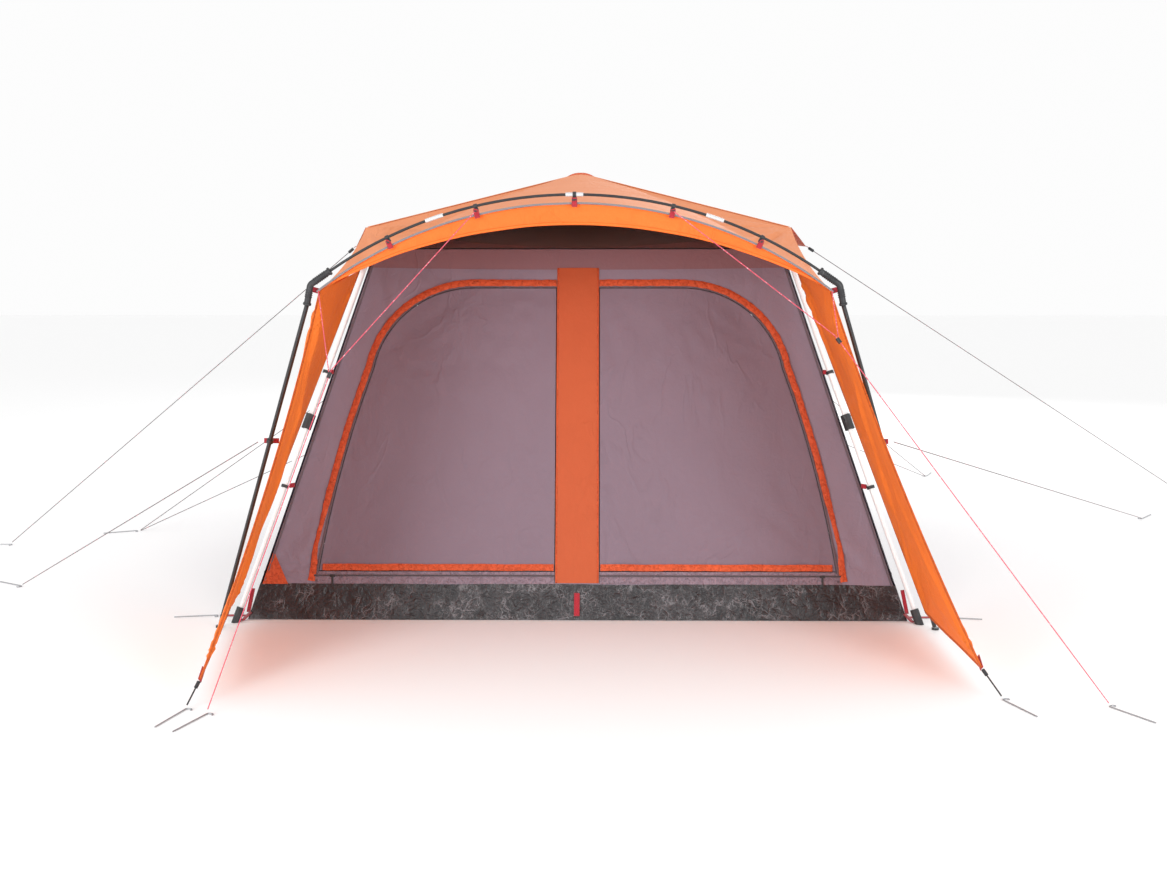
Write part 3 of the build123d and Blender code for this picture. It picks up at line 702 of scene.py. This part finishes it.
def make_header():
    """The darker band along the top of the front wall, its colour painted shade for the porch's shadow, and
    the tapes down its edges.
    """
    def place(u, v):
        z = HEADER_LOW + (WALL_TOP - 0.002 - HEADER_LOW) * v
        x = (2 * u - 1) * (wall_edge(z) - 0.004)
        z -= 0.010 * (1 - v) * (1 - 4 * (u - 0.5) ** 2)
        return on_wall("front", x, z, 0.0015 + 0.0016 * ruffle(x, z * 0.3, 0, 13, 7.0))
    band = surface("front_wall_header", place, 90, 6, HEADER_SHADE)
    half, low, top = CEILING[1][0], CEILING[0][2] + 0.002, CEILING[1][2] - 0.002

    def border(u, v):
        x = (2 * u - 1) * 0.80
        up = (0.004 + 0.030 * (x / 0.56) ** 2) * v
        return Vector((x, -half * (1 - up / (top - low)) - 0.001, low + up + 0.003))
    edge = surface("ceiling_border", border, 60, 4, GREY_LIT)
    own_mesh(edge)
    for side in TURNS:
        for sign in (-1, 1):
            line = [on_wall(side, sign * (wall_edge(z) - 0.010), z, 0.0008)
                    for z in (TUB_TOP + (WALL_TOP - TUB_TOP) * i / 40 for i in range(41))]
            ribbon(f"corner_tape_{side}_{'a' if sign < 0 else 'b'}", line, 0.009,
                   (*TURNS[side], LEAN), TAPE_AND_SHADOW)


def make_other_walls():
    for side in ("rear", "left", "right"):
        wall = surface(f"{side}_wall_cloth", wall_place(side), 120, 70, GREY_LIT)
        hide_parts("rear_wall" if side == "rear" else "side_walls")
        for z in (TUB_TOP + 0.05, 1.60):
            line = [on_wall(side, (2 * i / 60 - 1) * (wall_edge(z) - 0.012), z, 0.003) for i in range(61)]
            ribbon(f"{side}_seam_{round(z * 100)}", line, 0.012, (*TURNS[side], LEAN), TAPE_AND_SHADOW)


def make_windows():
    low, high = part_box("side_windows")[0][2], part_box("side_windows")[1][2]
    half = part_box("side_windows")[1][1]
    for side in ("left", "right"):
        def pane(u, v):
            x, z = (2 * u - 1) * (half - 0.02), low + 0.02 + (high - low - 0.04) * v
            return on_wall(side, x, z, 0.0014)
        mesh = surface(f"{side}_window_mesh", pane, 60, 26, MESH)
        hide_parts("side_windows")
        corner = 0.09
        rim = []
        for cx, cz, start in ((half - corner, high - corner, 0), (corner - half, high - corner, 90),
                              (corner - half, low + corner, 180), (half - corner, low + corner, 270)):
            rim += [(cx + corner * math.cos(math.radians(start + 11.25 * k)),
                     cz + corner * math.sin(math.radians(start + 11.25 * k))) for k in range(9)]
        dense = []
        for a, b in zip(rim, rim[1:] + rim[:1]):
            dense += straight(a, b, 0.03)
        line = [on_wall(side, x, z, 0.003) for x, z in dense + dense[:1]]
        ribbon(f"{side}_window_trim", line, 0.040, (*TURNS[side], LEAN), TRIM, thick=0.0015)


def make_corner_patch():
    """The small cloth triangle sewn over the lower left corner of the front wall."""
    low = TUB_TOP + 0.004
    wide, tall = 0.118, 0.135

    def place(u, v):
        z = low + tall * v
        left = -wall_edge(z) + 0.003
        return on_wall("front", left + wide * (1 - 0.93 * v) * u, z, 0.0022 + 0.0015 * ruffle(u, v, 0, 4))
    patch = surface("corner_patch", place, 10, 12, TRIM)


# ------------ tub and ceiling
def make_tub():
    """One crinkled sheet: the floor and its four upstands."""
    def crinkle(x, y, z):
        return (abs(ruffle(x, y, z, 19, 3.0)) + 0.6 * abs(ruffle(x, y, z, 43, 7.0)) - 0.45) * 0.0065
    steps, rows = 260, 14
    for side in TURNS:
        def place(u, v):
            top = TUB_TOP + 0.006 + 0.006 * ruffle((2 * u - 1) * HALF, len(side), 0, 2.4, 1.0)
            z = 0.001 + (top - 0.001) * v
            x = (2 * u - 1) * (HALF - LEAN * z - 0.0015)
            calm = min(1, v * 5, (1 - v) * 6 + 0.2, (1 - abs(2 * u - 1)) * 30)
            sag = 0.004 * math.sin(math.pi * v) * ruffle(x, 0, 0, 2.2, 5.0)
            return on_wall(side, x, z, 0.001 + max(calm, 0) * (crinkle(x, z, len(side)) + sag))
        tub_side = surface(f"tub_{side}", place, steps, rows, PE)
        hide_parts("groundsheet")

    def floor(u, v):
        x, y = (2 * u - 1) * (HALF - 0.003), (2 * v - 1) * (HALF - 0.003)
        return Vector((x, y, 0.002 + 0.0012 * abs(ruffle(x, y, 0, 12, 2.0))))
    ground = surface("tub_floor", floor, 90, 90, PE)
    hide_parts("groundsheet")


def make_ceiling():
    """The mesh ceiling, hung under the roof poles, sagging a little between its corners."""
    half, low, top = CEILING[1][0], CEILING[0][2] + 0.002, CEILING[1][2] - 0.002

    def place(u, v):
        x, y = (2 * u - 1) * half, (2 * v - 1) * half
        reach = max(abs(x), abs(y)) / half
        sag = 0.03 * math.sin(math.pi * reach) * (1 - min(abs(x), abs(y)) / max(abs(x), abs(y), 1e-6))
        return Vector((x, y, low + (top - low) * (1 - reach) - max(sag, 0)))
    ceiling = surface("ceiling_mesh_cloth", place, 56, 56, MESH)
    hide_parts("inner_ceiling")
    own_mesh(ceiling)


# ------------ canopy
def arch_z(x):
    return ARCH_TOP - ARCH_R + math.sqrt(ARCH_R**2 - x * x)


def valance_z(x):
    return VALANCE_LOW - VALANCE_R + math.sqrt(VALANCE_R**2 - x * x)


def hem_z(x):
    return HEM_TOP - HEM_R + math.sqrt(HEM_R**2 - x * x)


PEAK = Vector((0, 0, PEAK_Z - 0.001))
KNEES = {key: Vector((EAVE * sx, EAVE * sy, EAVE_Z - 0.001)) for key, (sx, sy) in CORNERS.items()}


def gore_blend(gore):
    """Bakes a roof panel's placement into its points."""
    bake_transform(gore)


def roof_fold(p, share, edge):
    """Creases that run from the hub outward, stronger towards the eave and gone along the seams."""
    turn = math.atan2(p.y, p.x)
    ray = noise.noise(Vector((turn * 9, 3.0, share * 0.8)))
    broad = noise.noise(Vector((p.x * 1.6, p.y * 1.6, 11.0)))
    fan = pull(p.x, p.y, [(sx * EAVE, sy * EAVE) for sx, sy in CORNERS.values()], 5.0, 0.45)
    return edge * share * (0.008 * ray + 0.010 * broad) + 0.030 * min(1, 3 * edge) * min(1, 6 * share) * fan


def make_plain_gore(key, a, b):
    def place(u, v):
        v = 0.02 + 0.98 * v
        eave = between(KNEES[a], KNEES[b], u)
        p = between(PEAK, eave, v)
        edge = 4 * u * (1 - u)
        fold = min(roof_fold(p, v, edge) * min(1, 12 * (1 - v)), 0.006)
        p.z -= 0.020 * edge * 4 * v * (1 - v) - fold + 0.004
        return p
    gore = surface(f"canopy_{key}", place, 90, 60, ROOF, body=None)
    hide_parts("canopy")
    gore_blend(gore)


def front_edge(s):
    """The front panel's outer edge: up one cheek, along the porch hem and back down the other."""
    cheek = 0.24
    ends = [Vector((sx * CORNER_X, PORCH_Y + 0.002, hem_z(CORNER_X))) for sx in (-1, 1)]
    if s < cheek:
        t = s / cheek
        p = between(KNEES["fl"], ends[0], t)
        return p + Vector((0.018, 0, -0.012)) * 4 * t * (1 - t)
    if s > 1 - cheek:
        t = (1 - s) / cheek
        p = between(KNEES["fr"], ends[1], t)
        return p + Vector((-0.018, 0, -0.012)) * 4 * t * (1 - t)
    angle = math.asin(CORNER_X / HEM_R)
    turn = angle * (2 * (s - cheek) / (1 - 2 * cheek) - 1)
    x = HEM_R * math.sin(turn)
    return Vector((x, PORCH_Y + 0.002, hem_z(x)))


def make_front_gore():
    def place(u, v):
        v = 0.02 + 0.98 * v
        p = between(PEAK, front_edge(u), v)
        edge = min(1, 6 * u, 6 * (1 - u))
        fold = roof_fold(p, v * (1 - v**6), edge) * min(1, 12 * (1 - v))
        # The arch and the hips hold the cloth up between them, so it swells on the way to each front corner.
        swell = 0.055 * sum(math.exp(-(((u - at) / 0.11) ** 2)) for at in (0.25, 0.75)) * edge
        p.z += (swell - 0.010 * edge) * 4 * v * (1 - v) + max(min(fold, 0.006), -0.010) - 0.003
        return p
    gore = surface("canopy_front", place, 190, 90, ROOF, body=None)
    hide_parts("canopy")
    gore_blend(gore)


def make_seams():
    """Taped seams over the four hip poles, and the round patch over the hub."""
    for key, (sx, sy) in CORNERS.items():
        line = [between(PEAK, KNEES[key], 0.02 + 0.97 * i / 50) + Vector((0, 0, -0.003)) for i in range(51)]
        tape = ribbon(f"hip_seam_{key}", line, 0.016, UP, ROOF, body=None, thick=0.0018)
        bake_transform(tape)

    def patch(u, v):
        turn, out = 2 * math.pi * u, 0.012 + 0.075 * v
        x, y = out * math.cos(turn), out * math.sin(turn)
        return Vector((x, y, PEAK_Z + 0.0015 - (PEAK_Z - EAVE_Z) / EAVE * max(abs(x), abs(y)) * v - 0.001))
    cap = surface("peak_patch", patch, 40, 8, AWNING_SHADED, body="roof_hub")


def make_skirts():
    """Cloth that hangs from the roof's edge: skirts on three sides, and the cheeks beside the porch."""
    top = EAVE_Z - 0.004
    for side in ("left", "right", "rear"):
        out_x, out_y = TURNS[side]

        def place(u, v):
            along = (2 * u - 1) * (EAVE - 0.002)
            out = EAVE + 0.003 + 0.015 * v + 0.004 * v * ruffle(along, v * 0.2, 0, 7, 4.0)
            hang = top + (SKIRT_LOW - top) * v + 0.006 * v * math.cos(7 * math.pi * (2 * u - 1))
            return Vector((out_x * out - out_y * along, out_y * out + out_x * along, hang))
        skirt = surface(f"skirt_{side}", place, 110, 8, ROOF)
        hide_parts("canopy_skirts")
    for sx, name in ((-1, "left"), (1, "right")):
        knee = Vector((sx * EAVE, -EAVE, top))
        low = Vector((sx * (EAVE + 0.050), -EAVE, 1.600))
        end = Vector((sx * (CORNER_X - 0.002), PORCH_Y + 0.006, hem_z(CORNER_X) - 0.004))

        def cheek(u, v):
            upper, lower = between(knee, end, u), between(low, end, u)
            upper += Vector((-sx * 0.018, 0, -0.012)) * 4 * u * (1 - u)
            p = between(upper, lower, v)
            loose = 4 * u * (1 - u)
            p.x += sx * 0.004 * loose * ruffle(p.y, p.z * 0.5, 0, 6, 3.0 + sx)
            p.z -= v * min(1, 8 * u) * (0.006 + 0.022 * loose)
            return p
        panel = surface(f"porch_cheek_{name}", cheek, 60, 14, WING)
        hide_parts("canopy_skirts")


def make_awnings():
    for sx, name in ((-1, "left"), (1, "right")):
        tip = Vector((sx * AWNING_X, 0, AWNING_Z))

        def place(u, v):
            inner = Vector((sx * (EAVE + 0.002), EAVE * (2 * u - 1), EAVE_Z - 0.002))
            v = 0.985 * v
            p = between(inner, tip, v)
            sag = 4 * u * (1 - u) * v * (1 - v)
            p.z -= 0.020 * sag + 0.003 * (1 - v) * abs(ruffle(p.x, p.y, 0, 11, 2.0))
            return p
        flap = surface(f"side_awning_{name}", place, 60, 24, AWNING_SHADED)
        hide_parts("side_awnings")
        loop = [tip + Vector((-sx * 0.035, 0, 0.010)), tip + Vector((sx * 0.002, 0, 0.001)),
                tip + Vector((sx * 0.014, 0, -0.006))]
        ribbon(f"awning_tab_{name}", loop, 0.020, UP, RED_TAPE, thick=0.0016)


def make_valance():
    """The band under the porch hem. Light comes through it, so its colour is painted brighter than the
    roof's to stand for that light.
    """
    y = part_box("valance")[0][1] + 0.0007

    def place(u, v):
        x = (2 * u - 1) * (CORNER_X - 0.006)
        top = hem_z(x) - 0.004
        low = min(valance_z(x), top - 0.002)
        wave = 0.0045 * v * ruffle(x, v * 0.2, 0, 8, 3.0)
        ripple = 0.003 * math.sin(math.pi * v) * ruffle(x * 2, v * 0.3, 0, 9, 1.0)
        return Vector((x, y - 0.004 + wave + ripple,
                       top + (low - top) * v + 0.003 * v * ruffle(x, 0, 0, 5, 7.0)))
    band = surface("valance_cloth", place, 190, 10, VALANCE_BACKLIT)
    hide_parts("valance")
    hem = []
    for i in range(121):
        x = (2 * i / 120 - 1) * VALANCE_HALF
        low = valance_z(x)
        hem.append(Vector((x, y - 0.0055 + 0.0045 * ruffle(x, 0.2, 0, 8, 3.0),
                           low + 0.006 + 0.003 * ruffle(x, 0, 0, 5, 7.0))))
    ribbon("valance_hem", hem, 0.011, (0, -1, 0), VALANCE_BACKLIT, thick=0.0012, sides=3)


def tube(name, line, radius, material, body="root", sides=10, shape=None):
    """A round tube along the points of line; shape(i) scales its radius."""
    points, faces = [], []
    for i, at in enumerate(line):
        ahead = (Vector(line[min(i + 1, len(line) - 1)]) - Vector(line[max(i - 1, 0)])).normalized()
        side = ahead.cross(UP if abs(ahead.z) < 0.9 else Vector((0, 1, 0))).normalized()
        up = side.cross(ahead)
        size = radius * (shape(i) if shape else 1)
        for k in range(sides):
            turn = 2 * math.pi * k / sides
            points.append(Vector(at) + (side * math.cos(turn) + up * math.sin(turn)) * size)
    for j in range(len(line) - 1):
        for k in range(sides):
            a, b = j * sides + k, j * sides + (k + 1) % sides
            faces.append((a, b, b + sides, a + sides))
    faces += [tuple(reversed(range(sides))), tuple(range(len(points) - sides, len(points)))]
    return piece(name, points, faces, material, body)


def make_piping():
    """The corded edge between the porch roof and the valance."""
    y = PORCH_Y - 0.0045
    line = []
    for i in range(201):
        x = (2 * i / 200 - 1) * CORNER_X
        line.append(Vector((x, y + 0.0006 * ruffle(x, 0, 0, 12), hem_z(x) + 0.0015 * ruffle(x, 0, 0, 7, 3))))
    cover = tube("piping_cover", line, 0.0042, GREY_TAPE,
                 shape=lambda i: 1 + 0.05 * math.sin(2.1 * i))
    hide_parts("canopy_piping")


def make_elbow_grips():
    """Ribs round each elbow's upper arm and lips round its two sockets."""
    for sx, name in ((-1, "left"), (1, "right")):
        bend = Vector((sx * 1.056, -2.005, 1.520))
        x = 0.975
        arm = (Vector((sx * x, ARCH_Y, arch_z(x))) - bend)
        leg = Vector((sx * 1.075, -1.990, 1.440)) - bend
        for label, way, gap, count in (("arm", arm, 0.0085, 7), ("leg", leg, 0.0085, 4)):
            far, way = way.length, way.normalized()
            for k in range(count):
                at = bend + way * (0.022 + gap * k)
                tube(f"elbow_rib_{name}_{label}_{k}",
                     [at, at + way * 0.0012, at + way * 0.0032, at + way * 0.0044],
                     0.0152, PLASTIC, sides=20, shape=lambda i: (0.86, 1, 1, 0.86)[i])
            at = bend + way * (far - 0.008)
            tube(f"elbow_lip_{name}_{label}", [at, at + way * 0.001, at + way * 0.008, at + way * 0.009],
                 0.0165, PLASTIC, sides=20, shape=lambda i: (0.9, 1, 1, 0.9)[i])


# ------------ wings
def make_wing(name, sx, tip):
    top = Vector((sx * 1.0325, -1.085, 1.580))
    elbow = Vector((sx * 1.0285, -1.968, 1.490))
    foot = Vector((sx * 1.5545, -1.606, 0.070))
    tip = Vector(tip)

    def place(u, v):
        inner, outer = between(foot, top, v), between(tip, elbow, v)
        outer += Vector((-sx * 0.022, 0.030, 0)) * 4 * v * (1 - v)
        p = between(inner, outer, u)
        # The cloth lies along the fold between the foot and the elbow.
        fold = 1 - abs(u - v)
        slack = 4 * u * (1 - u)
        p.x += -sx * 0.004 * slack * fold + 0.006 * slack * ruffle(p.x, p.y * 0.6, p.z * 0.35, 5, 3.0 + sx)
        p.y += 0.004 * slack * ruffle(p.x, p.y, p.z * 0.4, 9, 7.0)
        wide = (0, 0), (1.05, 0), (0, 1.55), (1.05, 1.55)
        calm = min(1, 12 * slack, 20 * v, 20 * (1 - v))
        p.x += sx * calm * 0.042 * pull(1.05 * u, 1.55 * v, wide, 3.0 + sx, 0.4)
        p.x -= sx * calm * 0.012 * math.exp(-(((u - v) / 0.035) ** 2)) * (1 + ruffle(u, v, 0, 6, 2.0))
        return p
    cloth = surface(f"wing_cloth_{name}", place, 60, 100, WING)
    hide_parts(f"wing_{name}")
    for label, line in (("front", [place(1, i / 70) for i in range(71)]),
                        ("foot", [place(i / 40, 0.002) for i in range(41)]),
                        ("leg", [place(0, i / 70) for i in range(71)])):
        ribbon(f"wing_hem_{name}_{label}", line, 0.014, (-sx, -0.25, 0.1), HEM, thick=0.0014)
    # Webbing at the tip, and at the elbow.
    tab = repeat(tip + Vector((0, 0.05, 0.03)), tip + Vector((0, -0.004, -0.002)), 6)
    webbing(f"wing_tip_tab_{name}", tab, 0.022, (-sx, -0.3, 0.2))
    hold = repeat(elbow + Vector((0, 0, 0.004)), elbow + Vector((sx * 0.026, -0.016, 0.012)), 6)
    webbing(f"wing_elbow_tab_{name}", hold, 0.022, (0, -1, 0))


# ------------ webbing
def make_arch_tabs():
    """Red webbing from each arch hook down over the piping."""
    for i, x in enumerate(HOOKS_X):
        lean = math.asin(x / ARCH_R)
        down = Vector((-math.sin(lean), 0, -math.cos(lean)))
        start = Vector((x, ARCH_Y, arch_z(x))) + down * 0.014
        y = PORCH_Y - 0.011
        line = [Vector((start.x, ARCH_Y - 0.004, start.z))]
        line += [Vector((x + down.x * d, y, line[0].z + down.z * d))
                 for d in (0.006, 0.012, 0.020, 0.028, 0.034)]
        webbing(f"arch_tab_{i}", line, 0.022, (0, -1, 0))


def leg_at(sx, sy, z):
    return Vector((sx * (LEG_FOOT - LEG_LEAN * z), sy * (LEG_FOOT - LEG_LEAN * z), z))


def make_porch_tabs():
    """A red tab on each wing, held by the clip half way up the porch leg."""
    for sx, name in ((-1, "left"), (1, "right")):
        clip = Vector((sx * PORCH_CLIP[0], PORCH_CLIP[1], PORCH_CLIP[2]))
        cloth = Vector((sx * 1.252, -1.806, PORCH_CLIP[2] - 0.004))
        line = repeat(cloth, between(cloth, clip, 0.80), 6)
        webbing(f"porch_tab_{name}", line, 0.022, (0, -1, 0))


def make_leg_webbing():
    for key, (sx, sy) in CORNERS.items():
        for z in (1.105, 0.590):
            leg = leg_at(sx, sy, z)
            seam = Vector((sx * (HALF - LEAN * z - 0.004), sy * (HALF - LEAN * z - 0.004), z))
            line = [seam + (leg - seam) * t for t in (0.02, 0.2, 0.4, 0.58)]
            webbing(f"leg_tab_{key}_{round(z * 100)}", line, 0.022, (-sx, sy, 0))
        # The strap from the tub's corner under the foot, and up to the corner seam.
        corner = Vector((sx * (HALF - 0.010), sy * (HALF - 0.010), 0.030))
        foot = leg_at(sx, sy, 0.0)
        line = [corner, between(corner, foot, 0.5) + Vector((0, 0, -0.012)),
                Vector((foot.x - sx * 0.016, foot.y - sy * 0.016, 0.004))]
        webbing(f"corner_strap_{key}", line, 0.024, (0, 0, 1))
        tab = repeat(corner + Vector((0, 0, 0.004)), corner + Vector((-sx * 0.02, -sy * 0.02, 0.11)), 4)
        webbing(f"corner_tab_{key}", [p + Vector((sx * 0.008, sy * 0.008, 0)) for p in tab], 0.02,
               (-sx, sy, 0))
    tab = repeat(on_wall("front", 0, 0.118, 0.0075), on_wall("front", 0, 0.018, 0.0075), 8)
    tub_tab = ribbon("tub_pull_tab", tab, 0.026, (0, -1, LEAN), RED_TAPE, thick=0.0022)
    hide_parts("ground_straps")
    for key, (sx, sy) in CORNERS.items():
        start = Vector((sx * (HALF + 0.004), sy * (HALF - 0.060), 0.0015))
        line = repeat(start, start + Vector((sx * 0.124, 0, 0.0005)), 8)
        strap = ribbon(f"ground_strap_{key}", line, 0.024, UP, RED_TAPE, thick=0.0015)
        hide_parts("ground_straps")


# ------------ guy lines
def toward(start, end, distance):
    start, end = Vector(start), Vector(end)
    return start + (end - start).normalized() * distance


def line_piece(name, points, material):
    """A taut line as one smooth curve through its given points."""
    data = bpy.data.curves.new(name, "CURVE")
    data.dimensions = "3D"
    data.bevel_depth = CORD / 2
    data.bevel_resolution = 3
    data.use_fill_caps = True
    data.resolution_u = 12
    spline = data.splines.new("NURBS")
    spline.points.add(len(points) - 1)
    for point, place in zip(spline.points, points):
        point.co = (*place, 1)
    spline.order_u = 3
    spline.use_endpoint_u = True
    data.materials.append(material)
    made = bpy.data.objects.new(name, data)
    link(made)
    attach(made, "root")
    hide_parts(name.replace("_rope", ""))
    return made


def measured(points):
    return sum((Vector(b) - Vector(a)).length for a, b in zip(points, points[1:]))


FRONT_PEG = {-1: (-1.306, -2.738), 1: (1.962, -2.631)}
UPPER_PEG = {-1: (-3.325, 0.060), 1: (4.300, 1.900)}
MID_PEG = {-1: (-2.817, -0.905), 1: (3.600, 0.900)}
REAR_PEG = {-1: (-2.738, 0.449), 1: (2.663, 2.593)}
TIPS = {-1: (-1.372, -2.590, 0.080), 1: (1.542, -2.450, 0.090)}
JUNCTION = {-1: (-0.943, -2.185, 1.193), 1: (1.024, -2.108, 1.322)}
ARCH_CLIP = (0.392, -2.017, 1.808)
ELBOW_CLIP = (1.022, -2.019, 1.500)
PORCH_CLIP = (1.325, -1.829, 0.868)


def guy(name, points, material):
    """A taut line between two parts of the object."""
    made = line_piece(f"{name}_rope", points, material)
    tuple(points[0])
    measured(points)


def straight_guy(name, a, b, clear_a, clear_b, material):
    """A line from a to b that stops short of each by the size of its fitting."""
    start, end = toward(a, b, clear_a), toward(b, a, clear_b)
    guy(name, [start, between(start, end, 0.5), end], material)


def make_lines():
    near = 6 * CORD  # a point this near a bend keeps the run beside it straight
    for sx, name in ((-1, "left"), (1, "right")):
        place = Vector(JUNCTION[sx])
        arch, elbow, porch = (Vector((sx * x, y, z)) for x, y, z in (ARCH_CLIP, ELBOW_CLIP, PORCH_CLIP))
        ground = (*FRONT_PEG[sx], PEG_R)
        guy(f"front_guy_{name}", [toward(arch, place, 0.004), toward(place, arch, near), place,
                                  toward(place, ground, near), toward(ground, place, 0.018)], RED_LINE)
        straight_guy(f"elbow_line_{name}", elbow, toward(place, ground, 0.023), 0.004, 0.014, RED_LINE)
        tip = Vector((sx * (AWNING_X + 0.012), 0, AWNING_Z - 0.006))
        straight_guy(f"side_guy_{name}", tip, (*UPPER_PEG[sx], PEG_R), 0.040, 0.018, GREY_LINE)
        straight_guy(f"porch_guy_{name}", porch, (*MID_PEG[sx], PEG_R), 0.018, 0.020, GREY_LINE)

        high, low = leg_at(sx, 1, 1.105), leg_at(sx, 1, 0.590)
        ground = Vector((*REAR_PEG[sx], PEG_R))
        back = (Vector((high.x, high.y, 0)) - Vector((ground.x, ground.y, 0))).normalized()
        beside = Vector((-back.y, back.x, 0)) * 0.008
        loop = ground + back * 0.034
        guy(f"rear_guy_{name}", [toward(high, loop + beside, 0.030), toward(loop + beside, high, near),
                                 loop + beside, loop - beside, toward(loop - beside, low, near),
                                 toward(low, loop - beside, 0.030)], GREY_LINE)


# ------------ CAD nodes that keep their shape
def dress(material, *nodes):
    for node in nodes:
        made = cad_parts[node]
        made.data.materials.clear()
        made.data.materials.append(material)


def dress_frame():
    ends = list(CORNERS)
    dress(WHITE_TUBE, "upper_legs", *[f"lower_leg_{k}" for k in ends])
    dress(BLACK_TUBE, "porch_legs", *[f"roof_pole_{k}" for k in ends])
    dress(ARCH_ROD, "arch_poles")
    dress(FERRULE, "arch_ferrules")
    dress(PLASTIC, "lock_collars", "roof_knuckles", "roof_hub", "porch_elbows", "arch_hooks", "leg_hooks",
          "guy_fittings", "zip_slider_left", "zip_slider_right", *[f"foot_{k}" for k in ends],
          *[f"lock_button_{k}" for k in ends])
    dress(STEEL, "pegs", "peg_rings", "knuckle_pins")


make_camera()
make_studio()
make_lines()
make_tub()
make_front_wall()
for sign, name in ((-1, "left"), (1, "right")):
    make_door(sign, name)
    trim_shape(sign, name)
make_strip()
make_header()
make_other_walls()
make_windows()
make_corner_patch()
make_ceiling()
make_front_gore()
make_plain_gore("left", "rl", "fl")
make_plain_gore("rear", "rr", "rl")
make_plain_gore("right", "fr", "rr")
make_seams()
make_skirts()
make_awnings()
make_valance()
make_piping()
make_elbow_grips()
for sx, name in ((-1, "left"), (1, "right")):
    make_wing(name, sx, TIPS[sx])
make_arch_tabs()
make_porch_tabs()
make_leg_webbing()
dress_frame()
